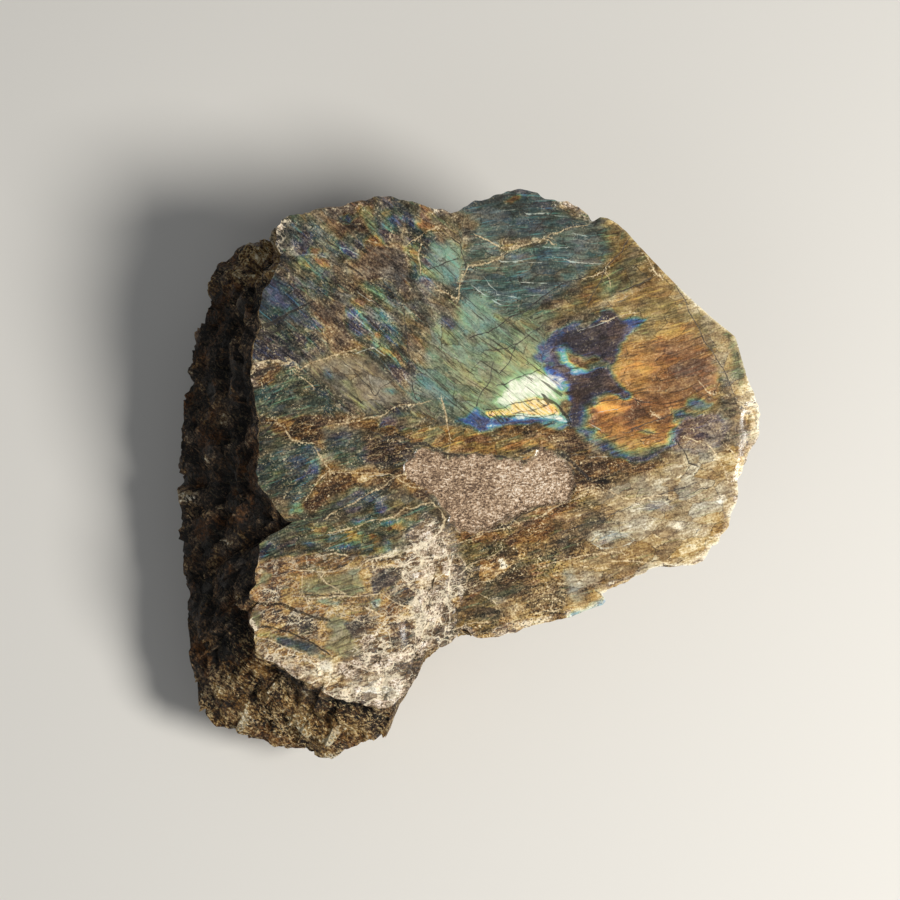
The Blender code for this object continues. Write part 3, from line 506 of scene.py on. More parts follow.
# The flash. Labradorite is built of layers, each far thinner than a hair, and their spacing gives a
# zone its colour: close layers flash blue, wider ones teal, green, gold and then copper. Each zone
# has what differs from the stone round it:
#   order     the colour of its flash, from 0 (violet) by way of blue, green and gold to 1 (copper)
#   strength  how much of the flash shows, play how much order and strength wander
#   light     how light the feldspar itself is, warm its colour, from grey 0 to rust 1
#   crush     how far it is crushed to white powder and veins, glow how bright the flash burns out
#   dust      how many tiny splinters glint in it
GROUND = dict(order=0.50, strength=0.10, play=0.5, light=0.42, warm=0.55, crush=0.0, glow=0.0, dust=0.4)
ZONES = {  # softness of its edge in mm, what differs, and its outlines in plan
    "upper left": (2.0, dict(order=0.36, strength=0.13, play=1.0, light=0.355, warm=0.46, dust=0.5), [
        [(-50, 62), (-8, 62), (-5, 50), (-8, 40), (-10, 34), (-9, 26), (-4, 19), (-10, 14), (-22, 12),
         (-32, 12), (-33, 20), (-50, 23)]]),
    "slate blue at the left rim": (1.2, dict(order=0.25, strength=0.34, light=0.24, play=0.5, dust=0.2), [
        [(-47, 41), (-40, 40), (-37.6, 36), (-36, 33), (-39, 31.4), (-44, 32), (-49, 34)]]),
    "dark top": (1.5, dict(order=0.9, strength=0.03, light=0.29, warm=0.5, play=0.6), [
        [(-32, 58), (-22, 59), (-20, 54), (-22, 50), (-28, 49), (-31, 52)]]),
    "upper left brown": (1.5, dict(order=0.95, strength=0.0, light=0.4, warm=0.45, play=0.6), [
        [(-22, 47), (-17, 48), (-13, 46), (-13, 41), (-14, 36), (-19, 40), (-25, 40), (-24, 45)],
        [(-35, 37), (-31, 34), (-27, 35), (-27, 30), (-24, 26), (-29, 25), (-31, 28), (-35, 34)]]),
    "teal back": (1.2, dict(order=0.34, strength=0.32, play=0.28, light=0.335, warm=0.42, dust=0.18), [
        [(-4, 62), (20, 62), (29, 53), (29, 46), (26, 42), (20, 38), (15, 35), (8, 33), (-2, 34), (-5, 38),
         (-2, 44), (-4, 50)]]),
    "slate back": (1.5, dict(order=0.31, strength=0.26, light=0.29, warm=0.28), [
        [(0, 60), (12, 60), (18, 56), (14, 51), (8, 51), (3, 52), (-2, 54)]]),
    "brown blocks": (1.0, dict(order=0.60, strength=0.12, light=0.41, warm=0.5, play=0.5, dust=0.6), [
        [(-4, 54), (-1, 53.4), (0.8, 51), (-0.4, 49), (-1.4, 46), (-3, 44), (-5, 47), (-9, 52), (-12, 55),
         (-8, 58)],
        [(6, 48), (9, 48.6), (12.4, 48.4), (11.8, 47), (8, 45.8), (6, 46)],
        [(17.6, 55.6), (21, 53.4), (24, 52.6), (25.6, 54), (20, 58)]]),
    "olive back right": (2.0,
        dict(order=0.62, strength=0.22, play=0.35, light=0.42, warm=0.68, dust=0.25), [
        [(27, 56), (34, 54), (48, 40), (54, 32), (52, 24), (44, 30), (38, 33), (30, 34), (22, 33), (17, 32),
         (20, 37), (26, 41), (29, 46)]]),
    "brown fault": (1.5, dict(order=0.76, strength=0.2, light=0.36, warm=0.8), [
        [(22, 38), (24, 34.6), (27, 37), (30, 43.6), (33, 46.6), (32, 49.6), (30, 47), (27, 43)]]),
    "green patch": (1.5, dict(order=0.50, strength=0.34, light=0.4, warm=0.30), [
        [(25.5, 37), (28, 39.6), (33, 39.4), (34, 37), (29, 35.4)]]),
    "green middle": (2.5, dict(order=0.49, strength=0.46, play=0.3, light=0.5, warm=0.3, dust=0.18), [
        [(-9, 31), (-2, 29), (6, 33), (12, 34), (16, 32), (15, 27), (14, 22), (10, 16), (2, 12),
         (-10, 12.6), (-15, 17), (-10, 22)]]),
    "brown middle": (1.5, dict(order=0.6, strength=0.16, light=0.42, warm=0.58, dust=0.4), [
        [(-15, 34), (-12, 33), (-10.4, 26), (-12, 22), (-14.4, 25)]]),
    "pale teal": (1.2,
        dict(order=0.40, strength=0.52, play=0.25, light=0.62, warm=0.3, glow=0.1, dust=0.1), [
        [(-9.4, 44), (-8, 47.6), (-5, 48.6), (-2.6, 46), (-2, 43), (-3, 40), (-6, 39.6), (-9, 41.4)],
        [(-3.6, 34), (-1, 37), (3, 37.4), (5, 34), (5, 31), (1, 28.6), (-2.6, 29.6)]]),
    "lower right": (1.5, dict(order=0.66, strength=0.1, play=0.85, light=0.44, warm=0.72, dust=1.1), [
        [(-4, -12), (5, -11), (12, -8), (20, -4), (30, 2), (44, 2), (56, 4), (64, 12), (64, -22), (45, -28),
         (25, -36), (-2, -40), (-4, -30), (-1, -20)]]),
    "brown gold": (2.5, dict(order=0.78, strength=0.18, light=0.36, warm=0.86, dust=0.7, play=0.95), [
        [(-3, -11.6), (5, -11), (12, -9), (20, -5.6), (26, -4.6), (22, -9), (16, -14), (8, -16), (2, -21),
         (-2, -20)]]),
    "olive dark": (2.0, dict(order=0.62, strength=0.12, light=0.36, warm=0.62, dust=0.35), [
        [(-3, -24), (4, -22.6), (10, -23.6), (8, -28), (4, -30), (-3, -30.6)],
        [(16, -10), (25, -7), (30, -8), (26, -14), (19, -16.6), (15, -14)]]),
    "dark cracked band": (1.4, dict(order=0.6, strength=0.08, light=0.36, warm=0.66, dust=0.5), [
        [(24, -9), (30, -8), (38, -9), (38, -12), (30, -12.6), (24, -12)],
        [(16, -11), (23, -9.4), (25, -13.4), (22, -16), (17, -15)],
        [(46, -1.2), (52, 0.6), (54, -1), (48, -3.6)]]),
    "amber": (1.6, dict(order=0.72, strength=0.24, light=0.46, warm=0.82), [
        [(11, -18.6), (17, -17.6), (19, -22), (14, -23.6), (11, -21)],
        [(0, -31), (4, -30.4), (4, -33), (0.6, -33.6)],
        [(30, 1), (42, 1), (44, -2), (38, -5), (30, -4.6)]]),
    "milky right": (2.5, dict(order=0.58, strength=0.06, light=0.655, warm=0.55, play=0.3, dust=0.4), [
        [(23, -3), (30, 0), (36, 0.6), (44, 3), (54, 5), (59, 3), (58, -8), (50, -20), (36, -21),
         (24, -24), (18, -22), (24, -16.6), (31, -11), (27, -7)]]),
    "pale flank": (2.0, dict(order=0.55, strength=0.05, light=0.78, warm=0.6, play=0.25, dust=0.4), [
        [(43, 4), (54, 5), (60, 0), (56, -12), (50, -19), (42, -20), (43, -13), (46, -8), (44, -2)]]),
    "orange field": (2.0, dict(order=0.8, strength=0.4, play=0.30, light=0.47, warm=0.74, dust=0.22), [
        [(26, 33), (32, 36), (40, 38), (44.6, 36), (47, 31), (50, 25), (52, 18), (50, 11), (43, 6), (31, 4),
         (24, 10), (26, 16), (29, 22), (29, 27)]]),
    "gold flare": (3.0, dict(order=0.8, strength=0.72, light=0.51, warm=0.70), [
        [(31, 18.6), (31, 21), (35, 22.6), (40, 23), (40, 20), (36, 18.6)]]),
    "tan top of the field": (2.0, dict(order=0.67, strength=0.26, light=0.48, warm=0.68), [
        [(26, 33), (32, 36), (40, 38), (44.6, 36), (46, 31), (42, 28), (36, 27), (31, 28.4)]]),
    "copper field": (3.0, dict(order=0.9, strength=0.33, light=0.48, warm=0.66), [
        [(40, 27), (47, 26), (51, 19), (49, 13), (40, 10), (34, 12), (36, 16), (41, 20)]]),
    "brown low field": (1.8, dict(order=0.90, strength=0.3, light=0.36, warm=0.70), [
        [(33, 15), (39, 14.6), (42, 11.6), (36, 10.6), (31, 9.6), (32, 12)],
        [(28, 9.6), (36, 10), (36, 7.6), (30, 7.4)]]),
    "violet grey": (1.4, dict(order=0.04, strength=0.18, light=0.52, warm=0.45, dust=0.6), [
        [(45, 12), (50, 13.4), (53.6, 10), (52, 6), (47, 3.6), (42, 4.6), (41, 8), (43, 10.6)]]),
    "blue at its edge": (1.0, dict(order=0.17, strength=0.50, light=0.52, warm=0.3), [
        [(44.8, 15.4), (47, 16), (49.4, 14.4), (46.4, 13), (45, 13.6)],
        [(41.6, 12.6), (44, 13), (44.8, 11.6), (42, 11)]]),
    "bevelled rim": (1.6, dict(order=0.58, strength=0.12, light=0.68, warm=0.5, play=0.1), [
        [(42, 42), (44.6, 36), (47.4, 31), (51, 24.6), (54, 18), (56, 16), (60, 20), (56, 32), (46, 40)]]),
    "milky streak": (1.0, dict(order=0.36, strength=0.2, play=0.15, light=0.7, warm=0.15, dust=0.1), [
        [(18.6, -20.4), (20.6, -20), (21.8, -22.6), (23.2, -26.4), (21.4, -27.4), (19.8, -24)]]),
    "green rim": (1.0, dict(order=0.53, strength=0.34, light=0.42, warm=0.40), [
        [(53.6, 29), (55.4, 28), (57.6, 19), (56.4, 16.6), (54.6, 21), (54.4, 25)]]),
    "pale right rim": (1.6, dict(order=0.50, strength=0.04, light=0.77, warm=0.8, dust=0.5, play=0.2), [
        [(55, 17), (58, 18), (64, 12), (60, 4), (57, 0), (56, -8), (50, -18), (40, -20.4), (36, -19.6),
         (44, -15), (50, -11), (53, -4), (54, 4), (55, 10)],
        [(20, -27), (27.6, -24), (30, -26), (20, -31.6)]]),
    "slate left": (1.2, dict(order=0.38, strength=0.26, play=0.55, light=0.27, warm=0.5, dust=0.55), [
        [(-50, 19), (-42, 21), (-38, 21.4), (-33, 18), (-28, 13.4), (-31, 11.4), (-41, 10.6), (-50, 13)],
        [(-50, 9), (-40, 7), (-34, 5.6), (-31, 0.6), (-34, -3.6), (-38, -7), (-44, -4), (-50, 2)],
        [(-31, 9), (-26, 9.4), (-23, 6), (-22, 2), (-26, 0.6), (-29.6, 2.6)]]),
    "rust left": (1.2, dict(order=0.9, strength=0.0, play=0.95, light=0.42, warm=0.95, dust=0.7), [
        [(-46, 11), (-40, 11), (-34, 12), (-24, 11.6), (-16, 10), (-12, 6), (-18, 8), (-26, 9.4), (-32, 9),
         (-32, 5.4), (-38, 7.4)],
        [(-31, 0.6), (-20, 0.4), (-13, 1.4), (-9, -3.4), (-10, -6.6), (-14, -3.2), (-20, -2.4), (-26, -2.8),
         (-30, -5.4), (-34, -8), (-35, -6.4), (-31.8, -2)],
        [(-46, 22.4), (-41, 22.6), (-41.4, 20.6), (-43, 18), (-47, 18)]]),
    "dark splinters": (2.0, dict(order=0.05, strength=0.0, light=0.27, warm=0.66, dust=1.0, play=0.95), [
        [(-22, 7), (-19, 7.6), (-14, 6.6), (-13, 3.4), (-17, 1.4), (-22, 2)]]),
    "green and slate band": (1.2,
        dict(order=0.46, strength=0.26, play=0.95, light=0.3, warm=0.55, dust=0.45), [
        [(-48, -15), (-40, -11), (-35, -8.6), (-29, -6), (-25, -2.6), (-20, -4), (-14, -5), (-9, -7),
         (-8.6, -10), (-12, -14), (-16, -15), (-22, -18), (-30, -16.6), (-48, -19.6)]]),
    "tan lobe": (1.0,
        dict(order=0.62, strength=0.1, play=0.95, light=0.58, warm=1.25, crush=0.15, dust=0.5), [
        [(-50, -19), (-38, -17.4), (-30, -16.6), (-20, -18), (-14, -17), (-15, -22), (-12, -26), (-14, -32),
         (-22, -34), (-24, -40), (-34, -44), (-50, -38)]]),
    "orange side of the lobe": (1.6,
        dict(light=0.50, warm=1.0, strength=0.12, order=0.85, dust=0.7, play=0.95), [
        [(-48, -19), (-43, -18), (-39, -20), (-39.6, -25), (-38, -29), (-42, -31), (-48, -30)]]),
    "olive panels": (0.6,
        dict(order=0.54, strength=0.3, play=0.2, light=0.6, warm=0.5, crush=0.04, dust=0.2), [
        [(-36.6, -22), (-33, -21), (-28, -21), (-24, -20.2), (-23, -24.6), (-28, -25.2), (-36, -24.8)],
        [(-31, -30), (-28, -29.6), (-22, -31.6), (-22.6, -38), (-27, -38.6), (-32, -36), (-30, -33)],
        [(-45, -20), (-42.6, -20.4), (-43, -23), (-46, -24)],
        [(-46.6, -28), (-44.6, -28.6), (-45, -32), (-47, -32)]]),
    "beige slab": (1.2, dict(order=0.62, strength=0.1, play=0.15, light=0.58, warm=0.36, dust=0.15), [
        [(-37, 22), (-31, 24), (-24.6, 25.4), (-20.6, 23), (-17, 19), (-14, 15), (-19, 13), (-24.6, 13.6),
         (-29, 16.4), (-33, 20)]]),
    "crushed": (1.4, dict(strength=0.03, light=0.46, warm=0.8, crush=0.6, play=0.95, dust=0.3), [CRUSHED]),
    "glassy lenses": (0.25, dict(order=0.3, strength=0.05, light=0.31, warm=0.7, crush=0.12, dust=0.4), [
        [(-19, -24.6), (-16.4, -23.6), (-13, -23), (-11, -25.4), (-13.6, -27.6), (-17, -26.4)],
        [(-22.4, -19.8), (-19, -19.6), (-15.4, -19.8), (-15.2, -22), (-17, -24), (-21, -25)],
        [(-18, -31), (-14, -30.8), (-11.4, -33), (-13, -36), (-17, -36)],
        [(-9.6, -18.2), (-7.4, -17.6), (-6.6, -20), (-8.4, -22), (-9.8, -20.6)],
        [(-23, -29.4), (-20, -30), (-21, -33), (-25, -34), (-27, -31)]]),
    "clay": (1.0, dict(light=0.58, warm=0.62, crush=0.25), [
        [(-4.4, -22.4), (-2, -22), (-1.8, -25), (-4, -27), (-5, -25)],
        [(-10, -36), (-6, -34.6), (-3.6, -34), (-4, -35.6), (-10, -37.6)]]),
    "white band": (1.2, dict(dust=0.2, strength=0.0, light=0.8, warm=0.45, crush=0.85), [
        [(-12, -13), (-9, -12.4), (-7, -15), (-7.4, -20), (-8.4, -26), (-8, -31), (-9, -36), (-13, -36),
         (-12, -30), (-13, -26), (-10.6, -21), (-11.4, -17)],
        [(-29, -43), (-25, -46), (-17, -47.6), (-13, -42), (-18, -42), (-24, -41)]]),
    "tan band": (1.2, dict(strength=0.02, light=0.62, warm=0.85, crush=0.35, dust=0.5), [
        [(-45, -36), (-40, -39.4), (-34, -43), (-27, -45.6), (-26, -42), (-34, -38.4), (-40, -35.8)]]),
    "brown chips": (0.6, dict(strength=0.0, light=0.36, warm=0.8, crush=0.2, dust=1.0), [
        [(-45, -29), (-42, -28), (-38, -29.6), (-34, -30.6), (-32, -32), (-36, -32.4), (-41, -31.6),
         (-45, -31)],
        [(-44, -24), (-42, -22), (-40, -24), (-41, -27), (-44, -27)]]),
    "bright lip": (0.5, dict(order=0.27, strength=0.12, light=0.88, warm=0.2, glow=0.35), [
        [(19.2, -29.3), (24, -27.7), (27, -26.4), (28.3, -25.0), (29.8, -25.4), (28, -28), (25, -29.6),
         (20, -31)]]),
    "pearl": (0.6, dict(order=0.30, strength=0.42, light=0.66, warm=0.30, crush=0.0, dust=0.1), [
        [(-34, -26), (-31, -25.7), (-27.6, -26.2), (-28.4, -27.4), (-32, -27.6)],
        [(-21.6, -26.6), (-20, -26.4), (-19.4, -28), (-20.4, -29), (-21.6, -28.2)]]),
    "blue grey lens": (0.6, dict(order=0.22, strength=0.30, light=0.42, warm=0.30, crush=0.0, dust=0.1), [
        [(-42, -33.8), (-38, -34.2), (-33, -36), (-30, -38), (-33, -38.8), (-37, -37), (-41, -35)]]),
    "lime lip": (0.4, dict(order=0.58, strength=0.55, light=0.68, crush=0.0, glow=0.1), [
        [(-46, -33), (-43, -32.8), (-40.6, -33.4), (-42, -34.2), (-45.6, -34)]]),
    "lighter floor of the hollow": (2.0, dict(light=0.58), [
        [(3, 2), (12, 1.6), (18, 3), (20, -1), (18, -4.6), (10, -6), (4, -5)]]),
    "darker floor of the hollow": (1.2, dict(light=0.36), [
        [(-12, 1), (-10, 4), (-8, 3), (-9.4, -0.6), (-8, -4), (-10, -3)],
        [(0, 0), (1.6, 0.6), (3, -1), (4.4, -4), (2.4, -6), (0.6, -4), (-1, -2)],
        [(-4.6, -9), (-2, -8), (2, -9.4), (4, -11.4), (-2, -12)]]),
    "gold rim": (0.8, dict(order=0.72, strength=0.26, play=0.95, light=0.45, warm=0.86, dust=0.5), [
        [(-15, 8.6), (-8, 9.6), (-2, 9), (2, 8.6), (6, 6.6), (10, 7.4), (15, 7), (18, 5.6), (16.4, 4.6),
         (14, 5), (11.5, 2.6), (5, 3.2), (-4, 3.6), (-9, 5), (-13, 6)],
        [(9.6, -8.6), (13, -7.2), (17, -6.6), (17, -8), (13, -9.2)]]),
    "brown wedge": (0.8, dict(order=0.85, strength=0.03, light=0.44, warm=0.78, dust=0.7, play=0.95), [
        [(5, 8), (7, 9.8), (11, 10), (16, 9.4), (21, 9.4), (23, 6), (28, 2.6), (38, 1.2), (36, -0.6),
         (29, 0.6), (26, -3), (22, -4), (21.4, 0), (18.5, 5), (14, 7.4), (10, 7.6)]]),
    "rusty pits": (0.6, dict(strength=0.0, light=0.12, warm=0.8, dust=0.8), [
        [(25, -0.9), (28.6, -0.8), (29, -2), (27, -2.8), (25.4, -2)]]),
    "flash fading out": (3.5,
        dict(order=0.5, strength=0.5, light=0.62, warm=0.45, glow=0.08, play=0.2, dust=0.05), [
        [(-1, 13), (2, 19), (7, 24), (14, 26), (16, 22), (16, 15), (8, 11.6)]]),
    "white flash": (1.1, dict(order=0.5, strength=0.85, light=0.85, glow=0.85, play=0.1, dust=0.0), [
        [(4, 14.4), (6, 18), (10, 20.6), (15, 21.4), (17.6, 20), (19.6, 17.8), (17.2, 17.3), (18.2, 15.8),
         (19.8, 15.2), (17.5, 14.4), (15, 15), (12.6, 14.8), (8, 13.2)]]),
    "blue under the flash": (0.45,
        dict(order=0.13, strength=0.95, light=0.52, warm=0.3, glow=0.04, play=0.5), [
        [(-4, 11), (-1.2, 12.2), (0.4, 13.2), (2.4, 12.4), (4, 11.6), (8, 11.6), (12, 11.2), (17, 11),
         (20, 10.4), (18.6, 8.8), (14, 9.9), (9, 10.1), (4, 9), (1, 9), (-1, 10.2)],
        [(21.4, 12.4), (23.6, 13), (24.6, 10.4), (23, 9.6), (21.4, 10.6)]]),
    "white under the flash": (0.4, dict(order=0.28, strength=0.9, light=0.8, glow=0.85, play=0.2), [
        [(7.4, 11.4), (9.6, 12.6), (13, 11.8), (16, 12), (18.6, 12.4), (19.8, 11), (18, 10.4), (15.4, 10.9),
         (12.6, 11), (8.6, 10.8)],
        [(2.6, 10.2), (4.4, 10.4), (5.6, 9.6), (3.6, 9.4)]]),
    "gold flash": (0.45, dict(order=0.72, strength=1.0, light=0.8, warm=0.7, glow=0.68, play=0.35), [
        [(2.6, 12.6), (5.6, 13.2), (9.6, 14.8), (12.8, 15.5), (14.6, 14.8), (16.4, 13.4), (18, 12.2),
         (16, 11.7), (12.6, 11.5), (9.4, 12.2), (7, 11.8), (4.4, 11.4)]]),
    "teal under the flash": (0.5, dict(order=0.36, strength=0.6, light=0.6, glow=0.15), [
        [(14.6, 10.8), (18.6, 10.7), (19.4, 9.8), (16.4, 9.4), (14.4, 10)]]),
    "blue round the eye": (0.6, dict(order=0.13, strength=0.68, light=0.42, warm=0.3, play=0.7, dust=0.2), [
        [(13, 24), (13.6, 26), (16, 28), (17, 29.6), (20, 31), (23, 31.4), (18, 26), (17, 22), (19.4, 18),
         (17, 18.6), (15, 21)],
        [(29.6, 31), (33, 32), (36, 31.4), (33.6, 29.4), (31, 27)],
        [(31, 17.4), (33.4, 15.6), (32.4, 15), (29.6, 16.4)],
        [(21, 9.6), (25.6, 16), (26.4, 12), (25, 8.4), (22, 8)]]),
    "dark eye": (0.7, dict(order=0.03, strength=0.22, play=0.2, light=0.3, warm=0.44, dust=0.2), [
        [(15.4, 24.6), (16.6, 26.8), (19, 28.6), (21.6, 30.4), (25, 30.6), (27, 33.6), (29.4, 33),
         (32, 30.6), (31, 27), (30, 24), (28.5, 21.8), (29.6, 19.5), (31, 17), (32.6, 15.6), (28, 16.6),
         (25, 16), (23.8, 13), (22.6, 10), (20.4, 9), (19.8, 12), (20.2, 15), (20, 18), (17.6, 21)]]),
    "flare at the neck": (0.5, dict(order=0.72, strength=0.95, light=0.70, glow=0.45, play=0.3), [
        [(25.2, 14.4), (27, 14.9), (30.6, 14.2), (32.6, 13.6), (29.4, 12.8), (26.2, 12.2)]]),
    "crescent": (0.7, dict(order=0.36, strength=0.34, play=0.9, light=0.36, warm=0.4, dust=0.2), [
        [(17, 25.4), (18.6, 26.6), (20.6, 25.4), (23.6, 23.8), (27, 23.4), (28.6, 21.8), (25.4, 21.2),
         (23.4, 20.4), (20.8, 20.8), (18.6, 22), (17, 23.6)]]),
    "gold of the crescent": (0.7, dict(order=0.58, strength=0.2, light=0.38, warm=0.45), [
        [(18.6, 24.6), (20.6, 24), (23.6, 22.6), (24, 21.6), (21, 22), (18.8, 23.4)]]),
    "bright edge of the crescent": (0.4, dict(order=0.2, strength=0.9, light=0.65, glow=0.66), [
        [(17.6, 25.4), (18.4, 22.6), (20.6, 20.8), (24.4, 20.1), (24.8, 21), (21.8, 21.7), (19.6, 23.4),
         (18.6, 25.2)],
        [(17.8, 18.6), (19.4, 17.8), (18.4, 17.2), (17.4, 17.8)]]),
}
SMALL_FLASHES = [  # (x, y), half length, half width, degrees from +X, then the zone's order and strength
    ((-34.5, 51.0), 4.0, 1.9, -20, 0.27, 0.37), ((-26.5, 52.9), 2.0, 1.2, 0, 0.06, 0.47),
    ((-22.6, 54.6), 2.0, 1.2, -40, 0.76, 0.44), ((-21.4, 51.6), 4.2, 1.2, -60, 0.64, 0.50),
    ((-20.4, 48.2), 1.8, 1.5, 0, 0.82, 0.59), ((-17.4, 51.4), 2.6, 1.3, 20, 0.34, 0.59),
    ((-13.0, 52.4), 2.2, 0.9, -55, 0.13, 0.19), ((-10.0, 52.6), 2.0, 3.0, 0, 0.83, 0.55),
    ((-18.6, 54.0), 1.4, 0.8, 0, 0.74, 0.41), ((-27.0, 46.2), 4.0, 0.9, -22, 0.30, 0.45),
    ((-35.6, 47.6), 2.4, 1.6, -30, 0.03, 0.19), ((-32.6, 45.7), 1.6, 0.8, -10, 0.76, 0.44),
    ((-31.0, 45.2), 1.2, 0.7, 0, 0.10, 0.32), ((-31.2, 43.4), 1.6, 0.9, -20, 0.83, 0.48),
    ((-36.6, 43.3), 2.6, 1.2, -10, 0.52, 0.45), ((-31.4, 41.2), 2.4, 1.3, -30, 0.42, 0.55),
    ((-34.6, 38.8), 3.2, 1.4, -35, 0.24, 0.35), ((-30.3, 38.2), 1.4, 1.2, 0, 0.33, 0.50),
    ((-40.2, 36.2), 3.6, 2.0, -42, 0.20, 0.38), ((-41.6, 33.2), 2.6, 1.0, 12, 0.40, 0.41),
    ((-34.8, 31.4), 2.8, 1.3, -25, 0.21, 0.38), ((-37.4, 29.2), 2.6, 1.2, -20, 0.36, 0.41),
    ((-34.4, 26.0), 1.3, 1.2, 0, 0.58, 0.50), ((-43.0, 24.8), 3.0, 1.2, 0, 0.22, 0.27),
    ((-40.0, 27.2), 3.6, 1.8, 0, 0.34, 0.20), ((-12.6, 45.4), 3.2, 1.4, -60, 0.66, 0.59),
    ((-10.6, 41.4), 2.2, 1.6, 0, 0.52, 0.50), ((-24.2, 35.2), 2.2, 1.0, -10, 0.75, 0.44),
    ((-23.0, 31.2), 3.6, 0.75, -40, 0.63, 0.80), ((-25.9, 32.8), 1.7, 0.8, -55, 0.24, 0.54),
    ((-24.6, 29.4), 2.6, 1.4, -45, 0.10, 0.41), ((-19.6, 32.8), 4.8, 1.1, -40, 0.47, 0.74),
    ((-18.4, 29.2), 3.2, 0.8, -32, 0.20, 0.47), ((-20.8, 28.3), 2.4, 0.9, 18, 0.73, 0.41),
    ((-16.4, 28.8), 2.8, 1.2, -30, 0.40, 0.65), ((-21.0, 37.2), 5.4, 0.9, -36, 0.40, 0.59),
    ((-17.8, 25.4), 4.0, 0.9, -40, 0.50, 0.70), ((-15.6, 23.7), 2.0, 0.7, -42, 0.83, 0.59),
    ((-13.6, 20.8), 3.4, 0.8, -48, 0.56, 0.70), ((-10.6, 19.6), 4.6, 1.2, -42, 0.37, 0.59),
    ((-8.0, 16.6), 3.0, 1.4, -40, 0.35, 0.55), ((-16.0, 20.4), 2.6, 1.1, -45, 0.08, 0.32),
    ((-25.4, 16.8), 3.6, 1.0, -42, 0.56, 0.50), ((-30.2, 20.4), 1.2, 1.0, 0, 0.22, 0.15),
    ((-17.2, 17.0), 1.4, 0.7, -10, 0.30, 0.50), ((-17.6, 10.4), 2.6, 1.2, 0, 0.22, 0.26),
    ((-13.6, 11.4), 2.2, 1.2, 0, 0.50, 0.35), ((-42.4, 16.6), 3.0, 1.6, 20, 0.24, 0.32),
    ((-32.6, 17.2), 3.0, 0.9, -38, 0.23, 0.35), ((-34.6, 4.6), 2.2, 1.1, -20, 0.34, 0.45),
    ((-33.4, 1.0), 1.5, 1.1, -60, 0.14, 0.65), ((-35.0, -1.4), 2.2, 0.9, 20, 0.24, 0.34),
    ((-41.6, -0.4), 3.0, 1.2, -30, 0.50, 0.30), ((-37.0, -8.0), 1.4, 1.0, 0, 0.42, 0.85),
    ((-26.6, 2.4), 2.0, 1.4, 0, 0.56, 0.35), ((-27.0, 6.4), 2.6, 1.2, -30, 0.34, 0.32),
    ((-24.0, -9.4), 2.4, 0.9, 15, 0.22, 0.47), ((-19.4, -7.6), 1.6, 1.2, -20, 0.10, 0.52),
    ((-17.8, -10.4), 1.8, 0.9, 0, 0.26, 0.60), ((-15.6, -11.4), 2.4, 0.9, 0, 0.70, 0.45),
    ((-25.6, -13.8), 2.8, 1.4, 15, 0.52, 0.75), ((-27.6, -15.4), 1.8, 0.8, 10, 0.24, 0.43),
    ((-33.0, -15.0), 2.0, 1.0, 0, 0.26, 0.50), ((-42.6, -15.4), 2.6, 1.2, 20, 0.28, 0.40),
    ((-18.2, -14.6), 1.2, 1.0, -40, 0.20, 0.52), ((-22.0, -16.2), 2.6, 0.9, 10, 0.52, 0.55),
    ((-31.6, -11.4), 2.6, 1.0, 20, 0.64, 0.40), ((-20.4, -13.4), 1.4, 1.0, 0, 0.78, 0.30),
    ((8.0, 56.8), 1.6, 0.6, 20, 0.78, 0.25), ((13.0, 38.0), 2.6, 0.7, -12, 0.25, 0.35),
    ((8.6, 44.6), 3.4, 0.6, 10, 0.24, 0.30), ((-5.6, 31.4), 1.6, 1.0, -40, 0.20, 0.17),
    ((34.6, 7.8), 2.2, 0.8, 10, 0.72, 0.70), ((36.6, 8.4), 1.6, 0.6, 0, 0.48, 0.60),
    ((21.4, -22.6), 1.4, 3.0, 25, 0.40, 0.12), ((29.0, -13.8), 3.6, 1.4, 10, 0.28, 0.16),
    ((38.6, -7.0), 3.6, 1.1, 5, 0.20, 0.15), ((28.6, -21.4), 1.8, 1.2, 10, 0.20, 0.12),
]
PALE_PATCHES = [  # (x, y), half length, half width, degrees from +X, then how light and how crushed it is
    ((21.4, -22.8), 3.6, 1.2, -65, 0.70, 0.00), ((29.0, -13.9), 4.0, 1.4, 8, 0.60, 0.00),
    ((42.6, -10.8), 1.8, 1.0, -10, 0.96, 0.30), ((47.6, -11.4), 1.4, 1.8, 0, 0.80, 0.10),
    ((51.6, -5.6), 1.2, 0.8, 0, 0.92, 0.40), ((6.0, -18.7), 1.0, 1.0, 0, 1.60, 0.30),
    ((8.8, -28.4), 1.8, 1.4, 0, 0.60, 0.10), ((5.0, -26.4), 1.8, 0.7, -20, 0.66, 0.30),
    ((1.6, -20.0), 2.4, 0.6, 0, 0.62, 0.30), ((-15.4, -45.0), 2.4, 1.4, 0, 0.98, 0.60),
    ((-31.6, -39.6), 1.6, 1.0, 0, 0.98, 0.60), ((-8.0, -16.0), 2.6, 1.2, -20, 0.86, 0.90),
    ((-24.4, 42.4), 3.0, 1.5, -30, 0.64, 0.10), ((-39.0, 45.8), 1.6, 0.8, 0, 0.62, 0.10),
    ((-44.6, 22.0), 1.6, 0.9, 20, 0.66, 0.20), ((30.0, 36.0), 1.6, 0.8, 0, 0.62, 0.20),
    ((27.4, 35.0), 3.4, 1.2, 10, 0.58, 0.10), ((34.0, 37.8), 2.6, 0.8, 10, 0.62, 0.10),
    ((10.4, -31.6), 6.0, 0.9, 14, 0.66, 0.30), ((-44.4, -36.6), 2.4, 1.0, -30, 0.70, 0.40),
    ((-36.0, -41.0), 4.0, 1.0, -28, 0.74, 0.45), ((12.4, 48.0), 0.8, 0.5, 0, 0.80, 0.20),
    ((-17.6, -16.9), 3.0, 0.6, 25, 1.00, 0.50), ((56.4, 8.0), 1.4, 3.4, 0, 0.52, 0.10),
]
